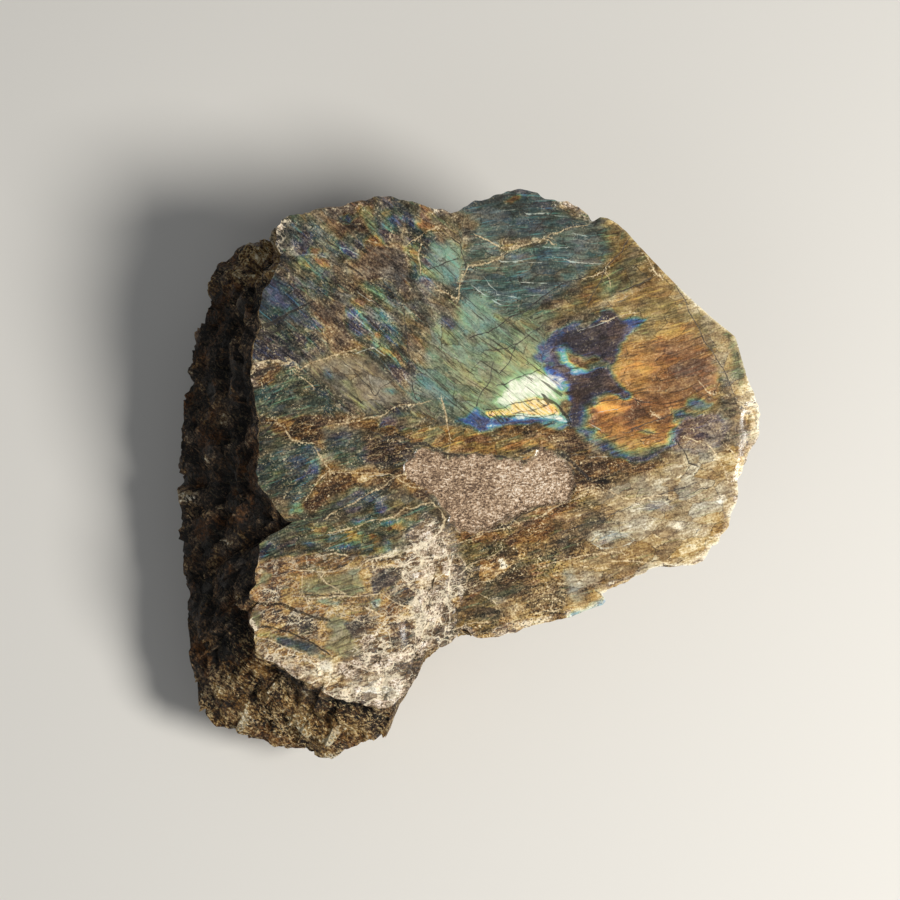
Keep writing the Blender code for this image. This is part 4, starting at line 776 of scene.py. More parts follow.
# The order falls from gold to blue towards this line, from its left side: the low edge of the field.
RAINBOW_EDGE = [
    (0.5, [(23, 20), (22.4, 14), (22.6, 9.6), (25, 6.4), (29, 3.6), (33, 2.3), (37, 2.4), (41, 4.6),
           (44, 9)]),
]
RAINBOW_ZONE = [
    (20, 14.6), (22, 6), (28, 1.4), (38, 0.6), (42.6, 4), (42, 8.6), (37, 7.4), (33, 8.6), (30, 11),
    (27.4, 13), (24.6, 14.6),
]
RAINBOW_ORDERS = [(0.0, 0.10), (0.8, 0.24), (1.6, 0.50), (2.8, 0.80)]  # mm from the edge, order there
RAINBOW_STRENGTH = 0.50

# How the layers lie, in degrees from +X in plan: the stone grew as several crystals.
GRAIN_RISING = 16.0
GRAIN_ZONES = [
    (-39.0, [(-60, 70), (-4, 70), (-2, 50), (-3, 38), (8, 32), (15, 30), (15, 22), (19.6, 18), (19, 12),
             (12, 9.4), (-5, 10), (-14, 12), (-33, 12), (-30, 17), (-38, 22), (-60, 24)]),
    (3.0, [(-4, 70), (22, 70), (31, 54), (30, 45), (22, 39), (12, 34), (-3, 37), (-2, 50)]),
]
GRAIN_BROKEN = -40.0  # on the broken sides
BROKEN_STRETCH = 1.2  # how many times shorter the streaks are on the broken sides
HOLLOW_STRETCH = 2.2  # and in the hollow


def grain_place(points, turned_by, stretch):
    """Points along the layers, across them and up, in mm: plan turned by an angle.

    The first is multiplied by a stretch, which makes what is drawn there that many times shorter.
    """
    angle = np.radians(turned_by)
    along = points[..., 0] * np.cos(angle) + points[..., 1] * np.sin(angle)
    across = points[..., 1] * np.cos(angle) - points[..., 0] * np.sin(angle)
    across = across + 0.8 * noise(points, 9.0, 33)
    return np.stack([along * stretch, across, points[..., 2]], axis=-1)


grain_turn = np.full(len(face), GRAIN_RISING)
for turned_by, outline in GRAIN_ZONES:
    bounds = outline_distance(warped(flat_face, 1.2, 6.0, 35), [outline])
    grain_turn = np.where(bounds < 0, turned_by, grain_turn)
face_grain = grain_place(face, grain_turn, np.where(hollow < 0, HOLLOW_STRETCH, 1.0))

# The zones laid one over the other. Their edges are frayed along the layers.
zone_place = warped(flat_face, 0.5, 4.0, 81)
fray = layered_noise(face_grain, [((3.0, 0.9, 0.9), 0.7, 83), ((1.2, 0.6, 0.6), 0.5, 84)])
flash = {name: np.full(len(face), value) for name, value in GROUND.items()}
for soft, changes, outlines in ZONES.values():
    cover = smooth_step(soft, -soft, outline_distance(zone_place, outlines) + (0.3 + 0.7 * soft) * fray)
    for name, value in changes.items():
        flash[name] += cover * (value - flash[name])


def patch_cover(middle, half_length, half_width, turned_by):
    """1 inside an ellipse and 0 outside it, by the distance from its middle over its own radius there."""
    angle = math.radians(turned_by)
    offset = zone_place - middle
    along = offset @ (math.cos(angle), math.sin(angle)) / half_length
    across = offset @ (-math.sin(angle), math.cos(angle)) / half_width
    return smooth_step(1.4, 0.5, np.hypot(along, across) + 0.8 * fray)


for middle, half_length, half_width, turned_by, order, strength in SMALL_FLASHES:
    cover = patch_cover(middle, half_length, half_width, turned_by)
    flash["order"] += cover * (order - flash["order"])
    flash["strength"] += cover * (strength - flash["strength"])
for middle, half_length, half_width, turned_by, light, crush in PALE_PATCHES:
    cover = patch_cover(middle, half_length, half_width, turned_by)
    flash["light"] += cover * (light - flash["light"])
    flash["crush"] += cover * (crush - flash["crush"])
    flash["warm"] += 0.6 * cover * (0.5 - flash["warm"])
edge_depth = line_distance(zone_place, RAINBOW_EDGE)[0] + 1.0 * fray
in_rainbow = smooth_step(0.8, -0.8, outline_distance(zone_place, [RAINBOW_ZONE]) + 0.4 * fray)
in_rainbow *= smooth_step(-0.5, 0.4, edge_depth)
rainbow_order = np.interp(edge_depth, *np.array(RAINBOW_ORDERS).T)
flash["order"] += in_rainbow * (rainbow_order - flash["order"])
flash["strength"] += in_rainbow * (RAINBOW_STRENGTH - flash["strength"])

# The rim crumbles to white powder here and there, its thin front edge is painted lighter, a painted
# highlight where light comes through the edge, and rust has crept in beside the veins.
CRUMBS = 0.7  # how far the crumbs and the chips are crushed
CHIP_CRUSH = 0.25
THIN_EDGE_HIGHLIGHT = 0.28  # how much lighter the painted highlight makes the thin edge
CRUMBLY = [  # (x, y), how far round it in mm
    ((-40, 49), 5.0), ((-7, 55), 2.5), ((22, 54), 5.0), ((58, 6), 6.0), ((54, -12), 9.0),
    ((44, -20), 6.0), ((30, -24), 7.0), ((8, -33), 5.0), ((-4, -33), 6.0), ((-10, -42), 7.0),
    ((-20, -48), 9.0), ((-46, -32), 2.6), ((-45, 20), 3.5), ((-46, -20), 3.0), ((47, 34), 3.0),
]
rim_there_radius = np.hypot(*(rim_there - HEART).T)
inside_rim = (1.0 - share) * rim_there_radius
crumbling = np.zeros(len(face))
for middle, reach in CRUMBLY:
    apart = np.hypot(*(face_plan - middle).T)
    crumbling = np.maximum(crumbling, smooth_step(1.1 * reach, 0.7 * reach, apart))
crumbling *= smooth_step(-0.5, 0.2, noise(flat_face, 2.5, 102))
crumbs = smooth_step(1.5, 0.2, inside_rim + 0.9 * noise(flat_face, 1.3, 103)) * crumbling
flash["crush"] += crumbs * (CRUMBS - flash["crush"])
flash["crush"] = np.maximum(flash["crush"], CHIP_CRUSH * chipped)
# Painted highlight: a band within 0.8 mm of the rim is painted lighter, fading in from x = 8 to 30 mm.
thin_edge_highlight = smooth_step(0.8, 0.1, inside_rim + 0.3 * noise(flat_face, 1.0, 105))
thin_edge_highlight *= smooth_step(8.0, 30.0, face_plan[:, 0])
flash["light"] += THIN_EDGE_HIGHLIGHT * thin_edge_highlight
flash["strength"] *= 1.0 - 0.8 * crumbs
healed_veins = line_distance(crack_place, HEALED_VEINS)
by_vein = smooth_step(1.5, 0.1, healed_veins[2] + 0.8 * noise(flat_face, 2.2, 104))
flash["warm"] += 0.25 * by_vein * (1.0 - flash["warm"])

# The feldspar is painted a little darker towards the left rim, painted shade on the side away from the key
# light. It is also a little darker on the lobe, and greyer at the back left.
flash["light"] -= 0.05 * smooth_step(-34.0, -46.0, face[:, 0]) + 0.05 * lobe_part
flash["warm"] -= 0.12 * smooth_step(0.0, 18.0, face[:, 1]) * smooth_step(12.0, -8.0, face[:, 0])

# Order and strength wander in streaks, and the feldspar is cloudy.
streaky = noise(face_grain, (8.0, 2.2, 2.2), 91)
speckled = noise(face_grain, (2.6, 1.0, 1.0), 92)
flash["order"] += flash["play"] * (0.16 * streaky + 0.14 * speckled)
uneven = layered_noise(face_grain, [((6.0, 2.0, 2.0), 0.7, 93), ((2.2, 0.9, 0.9), 0.5, 94)])
flash["strength"] *= 1.0 + (0.3 + 0.7 * flash["play"]) * uneven
cloudy = 0.09 * noise(face, 7.0, 95) + 0.09 * noise(face_grain, (3.0, 1.6, 1.6), 96)
flash["light"] += cloudy * (1.0 - flash["glow"])
flash["warm"] += layered_noise(face, [(5.0, 0.18, 97), (2.0, 0.12, 98)])

# The walls: their widest ring, their foot, and the lumps, cleavage steps and flat breaks on them.
BELLY_RING = [
    (-42.6, 53.8), (-47.2, 54.6), (-51.1, 53.4), (-55.4, 49.2), (-57.0, 42.5), (-57.2, 38.3),
    (-60.1, 31.0), (-61.5, 22.7), (-62.2, 14.4), (-63.4, 8.1), (-62.7, 0.9), (-62.9, -6.4),
    (-62.7, -13.7), (-60.9, -22.0), (-61.5, -29.3), (-61.2, -35.5), (-59.2, -42.1), (-57.8, -48.5),
    (-55.4, -51.1), (-49.1, -53.8), (-40.9, -55.1), (-36.3, -56.4), (-33.2, -57.8), (-27.6, -56.0),
    (-21.4, -53.9), (-18.3, -52.4), (-17.0, -48.8), (-14.5, -43.5), (-11.5, -37.5), (-7.5, -33.0),
    (-3.0, -30.0), (5.0, -29.5), (13.0, -27.5), (20.0, -25.0), (28.0, -20.0), (37.0, -15.5),
    (45.0, -12.5), (49.5, -5.0), (52.0, 3.0), (53.5, 11.0), (52.0, 20.0), (48.5, 27.0), (42.5, 34.0),
    (35.0, 41.5), (28.0, 48.0), (20.0, 52.5), (12.0, 55.0), (4.0, 54.5), (-4.0, 52.5), (-12.0, 54.0),
    (-22.0, 55.5), (-32.0, 55.0),
]
FOOT_RING = [
    (-55.0, 32.0), (-57.0, 12.0), (-56.0, -10.0), (-53.0, -30.0), (-47.0, -43.0), (-34.0, -47.0),
    (-24.0, -42.0), (-13.0, -28.0), (5.0, -22.0), (23.0, -16.0), (37.0, -6.0), (43.0, 8.0),
    (41.0, 23.0), (31.0, 37.0), (15.0, 47.0), (-5.0, 48.0), (-26.0, 50.0), (-43.0, 47.0),
]
BELLY_DROP = [(-180, 24.0), (-125, 17.0), (-90, 13.0), (-45, 11.0), (0, 12.0), (45, 16.0),
              (90, 20.0), (135, 22.0), (180, 24.0)]  # bearing, and depth of the widest ring there
FOOT_BELOW_TABLE = 10.0  # the foot is drawn down to here, and ends at the table
FOOT_CURVE = 1.4  # the power by which the wall draws in towards its foot
BELLY_HOLLOW = 0.35  # how far the wall sags inwards between the rim and its widest ring
RINGS = (28, 24)  # rings of the mesh from the rim to the widest ring, and from there to the foot
RINGS_CROWD = 1.3  # the power that crowds the upper rings towards the rim
BREAKS = [
    ((-59.5, -4.0, 9.0), (-0.86, -0.10, -0.50)),  # left foot
    ((-52.0, 46.0, 14.0), (-0.62, 0.66, -0.42)),  # back left corner
    ((-50.0, -47.0, 6.0), (-0.42, -0.72, -0.55)),  # front left foot
    ((-24.0, -49.0, 6.0), (0.30, -0.80, -0.52)),  # under the lobe
    ((45.0, -4.0, 14.0), (0.72, -0.36, -0.59)),  # right front
    ((46.0, 20.0, 16.0), (0.78, 0.16, -0.60)),  # right
    ((26.0, 46.0, 18.0), (0.42, 0.72, -0.55)),  # back right
    ((-14.0, 53.2, 20.0), (-0.06, 0.96, -0.28)),  # back
]  # flat breaks: a point on each, in plan and height, and its outward direction
BREAK_SHARE = 0.85  # how much of what stands out past a break is gone
LUMPS = [(19.0, 2.4, 11), (8.0, 1.4, 23), (4.5, 0.7, 31)]  # size of a lump, how far it stands out, seed
LUMP_FADE = 5.0  # depth below the rim at which the lumps are full
STEP_NORMAL = (0.18, -0.12, 0.98)  # of the cleavage steps
STEP_PITCH = 8.5  # from one step to the next
STEP_DEPTH = 2.2
STEP_WANDER = 0.35  # of their pitch
BELLY_CALM = 0.35  # share of the lumps left at the widest ring
BELLY_CALM_REACH = 0.3  # of the way to the rim or the foot
FACETS = [(9.0, 0.18, 8), (5.0, 0.30, 9), (2.2, 0.26, 10)]  # size of small flat breaks, their slope, seed
SPLINTERS = [((2.6, 0.9, 0.9), 0.30, 71), ((1.2, 0.6, 0.6), 0.16, 72)]  # size, height, seed
FINE_FADE = 1.5  # depth below the rim at which the facets and splinters are full
GROOVE_DEPTH = 1.6  # of the groove under the rim, at the front left
GROOVE_AT = 3.6  # below the rim
GROOVE_WIDTH = 1.3  # half of it, about
UNDERCUT_SLOPE = 0.22  # where the stone narrows, the wall stays behind the rim by this slope
UNDERCUT_DEPTH = 8.0  # below the rim, and farther down it falls back no more
UNDERCUT_SHARE = 0.9  # how much of what stands out past that is gone

edge = np.flatnonzero(share == 1.0)
edge = edge[np.argsort(turn[edge])]
top = face[edge]
rim_radius = np.hypot(*(top[:, :2] - HEART).T)
belly_radius = radius_at(BELLY_RING, bearing)
foot_radius = radius_at(FOOT_RING, bearing)
belly_drop = np.interp(turned, *np.array(BELLY_DROP).T)
upper_ways = np.linspace(0.0, 1.0, RINGS[0] + 1)[1:] ** RINGS_CROWD
ways = np.concatenate([upper_ways, np.linspace(1.0, 2.0, RINGS[1] + 1)[1:]])[:, None]
reach = ways - BELLY_HOLLOW * ways * (1.0 - ways) * (belly_radius > rim_radius)
low_share = np.clip(ways - 1.0, 0.0, 1.0)
upper_radius = rim_radius + (belly_radius - rim_radius) * reach
lower_radius = belly_radius + (foot_radius - belly_radius) * low_share**FOOT_CURVE
wall_radius = np.where(ways <= 1.0, upper_radius, lower_radius)
upper_height = top[:, 2] - belly_drop * ways
lower_height = (top[:, 2] - belly_drop) * (1.0 - low_share) - FOOT_BELOW_TABLE * low_share
wall_height = np.where(ways <= 1.0, upper_height, lower_height)
walls = np.concatenate([HEART + spokes * wall_radius[..., None], wall_height[..., None]], axis=-1)
depth = top[:, 2] - wall_height
grown = np.clip(depth / LUMP_FADE, 0.0, 1.0)
calm = BELLY_CALM + (1.0 - BELLY_CALM) * np.minimum(1.0, abs(ways - 1.0) / BELLY_CALM_REACH)
steps = walls @ np.array(STEP_NORMAL) / STEP_PITCH + STEP_WANDER * noise(walls, 21.0, 5)
rock = layered_noise(walls, LUMPS) + STEP_DEPTH * (steps - np.floor(steps) - 0.5)
rock = grown * calm * rock
jostled = walls + 0.6 * noise(walls, 3.0, 74)[..., None]
wall_grain = grain_place(walls, GRAIN_BROKEN, 1.0)
fine = sum(facets(jostled, cell, tilt, seed) for cell, tilt, seed in FACETS)
fine = fine + layered_noise(wall_grain, SPLINTERS)
fine = fine * np.clip(depth / FINE_FADE, 0.0, 1.0)
front_left = smooth_step(-80.0, -100.0, turned) * smooth_step(-150.0, -138.0, turned)
groove = GROOVE_DEPTH * front_left * np.exp(-(((depth - GROOVE_AT) / GROOVE_WIDTH) ** 2))
walls[..., :2] += spokes * (rock + fine - groove)[..., None]
behind_rim = rim_radius - UNDERCUT_SLOPE * np.minimum(depth, UNDERCUT_DEPTH)
proud = np.maximum(np.hypot(*np.moveaxis(walls[..., :2] - HEART, -1, 0)) - behind_rim, 0.0)
walls[..., :2] -= spokes * (UNDERCUT_SHARE * proud * (belly_radius < rim_radius))[..., None]
for place, outward in BREAKS:
    direction = np.array(outward) / np.linalg.norm(outward)
    past = np.maximum((walls - place) @ direction, 0.0)
    walls = walls - BREAK_SHARE * past[..., None] * direction
walls[..., 2] = np.maximum(walls[..., 2], 0.0)

# The base: rings in the table's plane from the foot to the middle.
BASE_RINGS = (0.97, 0.9, 0.78, 0.6, 0.4, 0.2)  # shares of the foot's size
foot_middle = walls[-1].mean(axis=0)
base = foot_middle + (walls[-1] - foot_middle) * np.array(BASE_RINGS)[:, None, None]

# One closed mesh: the face's grid, the walls' and base's rings, and a fan in the middle of the base.
SHARP_EDGE = 48.0  # degrees between two facets that meet in a sharp edge
rings = np.concatenate([walls, base]).reshape(-1, 3)
ring_count = len(walls) + len(base)
first = len(face)
ring_index = np.vstack([edge, first + np.arange(ring_count * STATIONS).reshape(ring_count, STATIONS)])
corner_index = np.arange(len(face)).reshape(CELLS + 1, CELLS + 1)
face_quads = np.stack(
    [corner_index[:-1, :-1], corner_index[:-1, 1:], corner_index[1:, 1:], corner_index[1:, :-1]], axis=-1
).reshape(-1, 4)
following = np.roll(ring_index, -1, axis=1)
ring_quads = np.stack(
    [ring_index[:-1], ring_index[1:], following[1:], following[:-1]], axis=-1
).reshape(-1, 4)
pole = first + len(rings)
fan = np.column_stack([ring_index[-1], np.full(STATIONS, pole), following[-1]])
points = np.vstack([face, rings, foot_middle])
placed = (points - np.append(BOX_MIDDLE, 0.0)) * MILLIMETRE
mesh = bpy.data.meshes.new("labradorite_chunk")
mesh.from_pydata(placed.tolist(), [], face_quads.tolist() + ring_quads.tolist() + fan.tolist())
mesh.shade_smooth()
mesh.set_sharp_from_angle(angle=math.radians(SHARP_EDGE))
on_sides = np.arange(len(mesh.polygons)) >= len(face_quads)
mesh.polygons.foreach_set("material_index", on_sides.astype(np.int32))
stone = bpy.data.objects.new("labradorite_chunk", mesh)
bpy.context.scene.collection.objects.link(stone)


def store(name, *values):
    """Stores three numbers at each of the stone's points, for its materials to read.

    What is given for the polished face alone is 0 on the sides.
    """
    full = [np.pad(value, (0, len(points) - len(value))) for value in values]
    layer = mesh.attributes.new(name, "FLOAT_VECTOR", "POINT")
    layer.data.foreach_set("vector", np.stack(full, axis=-1).astype(np.float32).ravel())


LINE_REACH = 5.0  # mm, the farthest distance that is stored
SHADE_PAINTED_SIDE = (132.0, 146.0)  # bearings either way between which painted shade darkens the rock, at the left, the side turned from the key light
SHADE_PAINTED_GROOVE = (2.4, 1.7)  # the band of painted shade in the groove under the rim: its middle below the rim, and its width
bright_layers = line_distance(warped(flat_face, 0.12, 3.0, 63), BRIGHT_LAYERS)
sides = points[len(face):]
side_grain = grain_place(sides, GRAIN_BROKEN, BROKEN_STRETCH)
store("grain", *np.vstack([face_grain, side_grain]).T)
store("flash", flash["order"], flash["strength"], flash["glow"])
store("body", flash["light"], flash["warm"], flash["crush"])
store("texture", flash["play"], flash["dust"], np.clip(hollow, -LINE_REACH, LINE_REACH))
store("open_cracks", *np.clip(open_cracks, -LINE_REACH, LINE_REACH))
store("healed_veins", *np.clip(healed_veins, -LINE_REACH, LINE_REACH))
store("bright_layers", *np.clip(bright_layers, -LINE_REACH, LINE_REACH))
relief = np.concatenate([rubble, fine.ravel(), np.zeros(base.shape[0] * STATIONS + 1)])
# Painted shade, stored for the broken rock: it is darker on the left side, which is turned from the key
# light, and in a band in the groove under the rim at the front left, where shade falls.
dark = np.tile(smooth_step(*SHADE_PAINTED_SIDE, abs(turned)), (ring_count, 1))
groove_painted_shade = front_left * np.exp(-(((depth - SHADE_PAINTED_GROOVE[0]) / SHADE_PAINTED_GROOVE[1]) ** 2))
dark[:len(walls)] = np.maximum(dark[:len(walls)], groove_painted_shade)
dark = np.concatenate([np.zeros(len(face)), dark.ravel(), [0.0]])
store("surface", relief, dark, by_vein)


def linear(hex_colour):
    """An sRGB hex colour as linear light, with full alpha.

    Each channel, with 0.055 added and divided by 1.055, is taken to the power 2.4. The darkest are
    divided by 12.92 instead.
    """
    parts = [int(hex_colour[i:i + 2], 16) / 255.0 for i in (1, 3, 5)]
    return [p / 12.92 if p <= 0.04045 else ((p + 0.055) / 1.055) ** 2.4 for p in parts] + [1.0]


def add(tree, kind, inputs, out=0, stops=(), **settings):
    """Adds a node with its settings, gives its inputs a value or a link each, and returns an output.

    stops are a colour ramp's places and hex colours. A Mix node mixes its inputs 6 and 7 where it
    mixes colours, and 2 and 3 where it mixes numbers.
    """
    made = tree.nodes.new("ShaderNode" + kind)
    for name, value in settings.items():
        setattr(made, name, value)
    for socket, value in inputs.items():
        if isinstance(value, bpy.types.NodeSocket):
            tree.links.new(value, made.inputs[socket])
        else:
            made.inputs[socket].default_value = value
    for number, (place, hex_colour) in enumerate(stops):
        ramp = made.color_ramp.elements
        stop = ramp[number] if number < 2 else ramp.new(place)
        stop.position = place
        stop.color = linear(hex_colour)
    return made.outputs[out]


# Colours of the flash, from close layers to wide ones, and of feldspar from dark to light where it
# is clean and grey, where iron has rusted it, where it is crushed, and where it is sawn but dull.
FLASH_COLOURS = [
    (0.0, "#4a4458"), (1.0, "#6b422c"), (0.12, "#3d5690"), (0.22, "#4a779c"), (0.32, "#55908f"),
    (0.42, "#6b9a80"), (0.52, "#8da774"), (0.62, "#b7ad66"), (0.70, "#d8b35a"), (0.78, "#cf9348"),
    (0.88, "#ad6c3c"),
]
GREY_FELDSPAR = [
    (0.0, "#111211"), (1.0, "#efece4"), (0.3, "#3a3836"), (0.5, "#615e59"), (0.7, "#908c83"),
    (0.86, "#bdb9aa"),
]
RUSTY_FELDSPAR = [
    (0.0, "#110b06"), (1.0, "#f8ebc9"), (0.3, "#472f18"), (0.5, "#7b572d"), (0.7, "#b08b4e"),
    (0.86, "#d8be89"),
]
CRUSHED_FELDSPAR = [
    (0.0, "#4a3b2c"), (1.0, "#fdf8ee"), (0.22, "#7c6850"), (0.42, "#a48d72"), (0.58, "#cbb6a0"),
    (0.78, "#ebdcca"),
]
SAWN_FELDSPAR = [(0.0, "#4b382a"), (1.0, "#f0e0cb"), (0.4, "#957a5f"), (0.62, "#bfa283")]

# Sizes of the stone's patterns, in mm: one size, or sizes along the layers, across them and up.
STREAK = (1.7, 0.42, 0.9)  # real layers are far finer than can be seen
CLOUD = 2.4
GRIT = 0.42
BLOCK = (2.8, 1.0, 1.4)  # the blocks that cracks part the crystal into
PANEL = (6.4, 3.2, 5.0)  # and the larger panels
CLEAVAGE_TRACE = (7.0, 0.5, 2.0)
SPLINTER = (4.4, 2.4, 3.0)
FORKED_CRACK = (5.0, 1.6, 2.4)
SAW_STROKE = (0.8, 0.3, 0.42)
BROKEN_CLOUD = 9.0
BROKEN_GRIT = 0.8
CLEAVED_FACET = (8.0, 4.0, 5.0)
BROKEN_SPLINTER = (1.7, 0.55, 0.7)
LABRADORITE_IOR = 1.56


def stone_places(tree):
    """A point's place in mm, the same along the layers, and that in parts of a streak's size."""
    place = add(tree, "TexCoord", {}, "Object")
    in_mm = add(tree, "VectorMath", {0: place, "Scale": 1.0 / MILLIMETRE}, operation="SCALE")
    grain = add(tree, "Attribute", {}, "Vector", attribute_name="grain", attribute_type="GEOMETRY")
    drawn = add(tree, "VectorMath", {0: grain, 1: [1.0 / size for size in STREAK]}, operation="MULTIPLY")
    return in_mm, grain, drawn


def wandering_place(tree, place, sizes, wander, push):
    """A place divided by a pattern's sizes, plus a wandering texture times how far it pushes."""
    scaled = add(tree, "VectorMath", {0: place, 1: [1.0 / size for size in sizes]}, operation="MULTIPLY")
    return add(tree, "VectorMath", {0: wander, 1: push, 2: scaled}, operation="MULTIPLY_ADD")


def stretched_noise(tree, place, size, detail, roughness, low, high):
    """Noise of a given size and detail, stretched so that low becomes 0 and high becomes 1."""
    raw = add(
        tree, "TexNoise", {"Vector": place, "Scale": 1.0 / size, "Detail": detail, "Roughness": roughness}
    )
    return add(tree, "MapRange", {"Value": raw, "From Min": low, "From Max": high})


def cell_numbers(tree, place):
    """Three random numbers for each cell of a pattern that has about one cell in each unit cube."""
    cells = add(tree, "TexVoronoi", {"Vector": place, "Scale": 1.0}, "Color")
    return add(tree, "SeparateXYZ", {0: cells}).node.outputs


def feldspar(tree, lightness, rust):
    """Colour of feldspar by its lightness: the clean grey one mixed with the rusty one."""
    grey = add(tree, "ValToRGB", {0: lightness}, stops=GREY_FELDSPAR)
    rusty = add(tree, "ValToRGB", {0: lightness}, stops=RUSTY_FELDSPAR)
    return add(tree, "Mix", {"Factor": rust, 6: grey, 7: rusty}, 2, data_type="RGBA")


def finish_surface(material, colour, rough, bump):
    """Wires a material's colour, roughness and bump, and gives it labradorite's refraction."""
    shader = material.node_tree.nodes["Principled BSDF"]
    for socket, value in (("Base Color", colour), ("Roughness", rough), ("Normal", bump)):
        material.node_tree.links.new(value, shader.inputs[socket])
    shader.inputs["IOR"].default_value = LABRADORITE_IOR


# Polished labradorite: feldspar ground flat and buffed. The polish gives the eye a still gloss over
# grainy colour that changes from zone to zone; crushed and cracked places stay pale and dull.
polished = bpy.data.materials.new("polished_labradorite")
polished.use_nodes = True
tree = polished.node_tree
stored = {}
for name in ("flash", "body", "texture", "surface", "open_cracks", "healed_veins", "bright_layers"):
    vector = add(tree, "Attribute", {}, "Vector", attribute_name=name, attribute_type="GEOMETRY")
    stored[name] = add(tree, "SeparateXYZ", {0: vector}).node.outputs
order, strength, glow = stored["flash"]
body_light, warm, crush = stored["body"]
play, dust, hollow_depth = stored["texture"]
rubble_relief, _, by_vein = stored["surface"]
in_mm, grain, drawn = stone_places(tree)
streak = stretched_noise(tree, drawn, 1.0, 5.0, 0.64, 0.32, 0.68)
cloud = add(tree, "TexNoise", {"Vector": in_mm, "Scale": 1.0 / CLOUD, "Detail": 8.0, "Roughness": 0.7})
cloud_colour = cloud.node.outputs["Color"]
cloud_parts = add(tree, "SeparateXYZ", {0: cloud_colour}).node.outputs
haze = add(tree, "MapRange", {"Value": cloud, "From Min": 0.33, "From Max": 0.67})
grit = stretched_noise(tree, in_mm, GRIT, 2.0, 0.6, 0.3, 0.7)
block_parts = cell_numbers(tree, wandering_place(tree, grain, BLOCK, cloud_colour, (1.2, 1.2, 1.2)))

# Long straight hairline cracks part it into panels.
panel_at = wandering_place(tree, grain, PANEL, cloud_colour, (0.35, 0.5, 0.4))
fault = add(tree, "TexVoronoi", {"Vector": panel_at, "Scale": 1.0}, feature="DISTANCE_TO_EDGE")
panel_parts = cell_numbers(tree, panel_at)

# The flash: its order wanders from panel to panel, block to block and streak to streak.
order_off = add(tree, "Math", {0: block_parts[0], 1: cloud_parts[1]}, operation="ADD")
order_off = add(tree, "Math", {0: order_off, 1: 0.26, 2: -0.38}, operation="MULTIPLY_ADD")
order_off = add(tree, "Math", {0: panel_parts[0], 1: 0.24, 2: order_off}, operation="MULTIPLY_ADD")
order = add(tree, "Math", {0: order_off, 1: play, 2: order}, operation="MULTIPLY_ADD")
flash_colour = add(tree, "ValToRGB", {0: order}, stops=FLASH_COLOURS)
uneven = add(tree, "Math", {0: streak, 1: 0.6, 2: 0.35}, operation="MULTIPLY_ADD")
uneven = add(tree, "Math", {0: haze, 1: 0.4, 2: uneven}, operation="MULTIPLY_ADD")
patchy = add(tree, "MapRange", {"Value": block_parts[1], "To Min": 0.6, "To Max": 1.3})
amount = add(tree, "Math", {0: uneven, 1: patchy}, operation="MULTIPLY")
amount = add(tree, "Math", {0: amount, 1: strength}, operation="MULTIPLY", use_clamp=True)

# The feldspar under it.
shade = -0.58
for texture, weight in (
    (streak, 0.30), (haze, 0.20), (grit, 0.22), (block_parts[2], 0.22), (panel_parts[1], 0.22)
):
    shade = add(tree, "Math", {0: texture, 1: weight, 2: shade}, operation="MULTIPLY_ADD")
busy = add(tree, "MapRange", {"Value": play, "To Min": 0.55, "To Max": 1.15})
busy = add(tree, "Math", {0: dust, 1: 0.2, 2: busy}, operation="MULTIPLY_ADD")
shade = add(tree, "Math", {0: shade, 1: busy}, operation="MULTIPLY")
light = add(tree, "Math", {0: body_light, 1: shade}, operation="ADD")
rust = add(tree, "Math", {0: cloud_parts[2], 1: 0.6, 2: -0.5}, operation="MULTIPLY_ADD")
rust = add(tree, "Math", {0: panel_parts[2], 1: 0.4, 2: rust}, operation="MULTIPLY_ADD")
rust = add(tree, "Math", {0: rust, 1: warm}, operation="ADD", use_clamp=True)
colour = feldspar(tree, light, rust)
lit = add(
    tree, "MapRange", {"Value": light, "From Min": 0.05, "From Max": 0.6, "To Min": 0.35, "To Max": 1.15}
)
flash_lit = add(tree, "VectorMath", {0: flash_colour, "Scale": lit}, operation="SCALE")
colour = add(tree, "Mix", {"Factor": amount, 6: colour, 7: flash_lit}, 2, data_type="RGBA")
whiteness = add(tree, "Math", {0: streak, 1: 0.30, 2: -0.15}, operation="MULTIPLY_ADD")
whiteness = add(tree, "Math", {0: glow, 1: whiteness}, operation="ADD")
whiteness = add(tree, "MapRange", {"Value": whiteness, "From Min": 0.58, "From Max": 0.95})
bright_flash = add(tree, "VectorMath", {0: flash_colour, "Scale": 1.45}, operation="SCALE")
burnt_colour = add(
    tree, "Mix", {"Factor": whiteness, 6: bright_flash, 7: linear("#fffdea")}, 2, data_type="RGBA"
)
burnt = add(
    tree, "MapRange", {"Value": streak, "From Min": 0.0, "From Max": 0.6, "To Min": 0.9, "To Max": 2.0}
)
burnt = add(tree, "Math", {0: glow, 1: burnt}, operation="MULTIPLY", use_clamp=True)
colour = add(tree, "Mix", {"Factor": burnt, 6: colour, 7: burnt_colour}, 2, data_type="RGBA")

# Cleavage shows as fine straight lines along the layers, dark and bright, most where it flashes.
per_trace = [1.0 / size for size in CLEAVAGE_TRACE]
trace_at = add(tree, "VectorMath", {0: grain, 1: per_trace}, operation="MULTIPLY")
trace = add(tree, "TexNoise", {"Vector": trace_at, "Scale": 1.0, "Detail": 2.0, "Roughness": 0.6})
flashing = add(tree, "MapRange", {"Value": strength, "From Max": 0.5, "To Min": 0.25, "To Max": 1.0})
for low, high, part, trace_colour in (
    (0.41, 0.35, 0.75, linear("#2b261d")),
    (0.61, 0.67, 0.48, bright_flash),
):
    shown = add(tree, "MapRange", {"Value": trace, "From Min": low, "From Max": high, "To Max": part})
    shown = add(tree, "Math", {0: shown, 1: flashing}, operation="MULTIPLY")
    colour = add(tree, "Mix", {"Factor": shown, 6: colour, 7: trace_colour}, 2, data_type="RGBA")

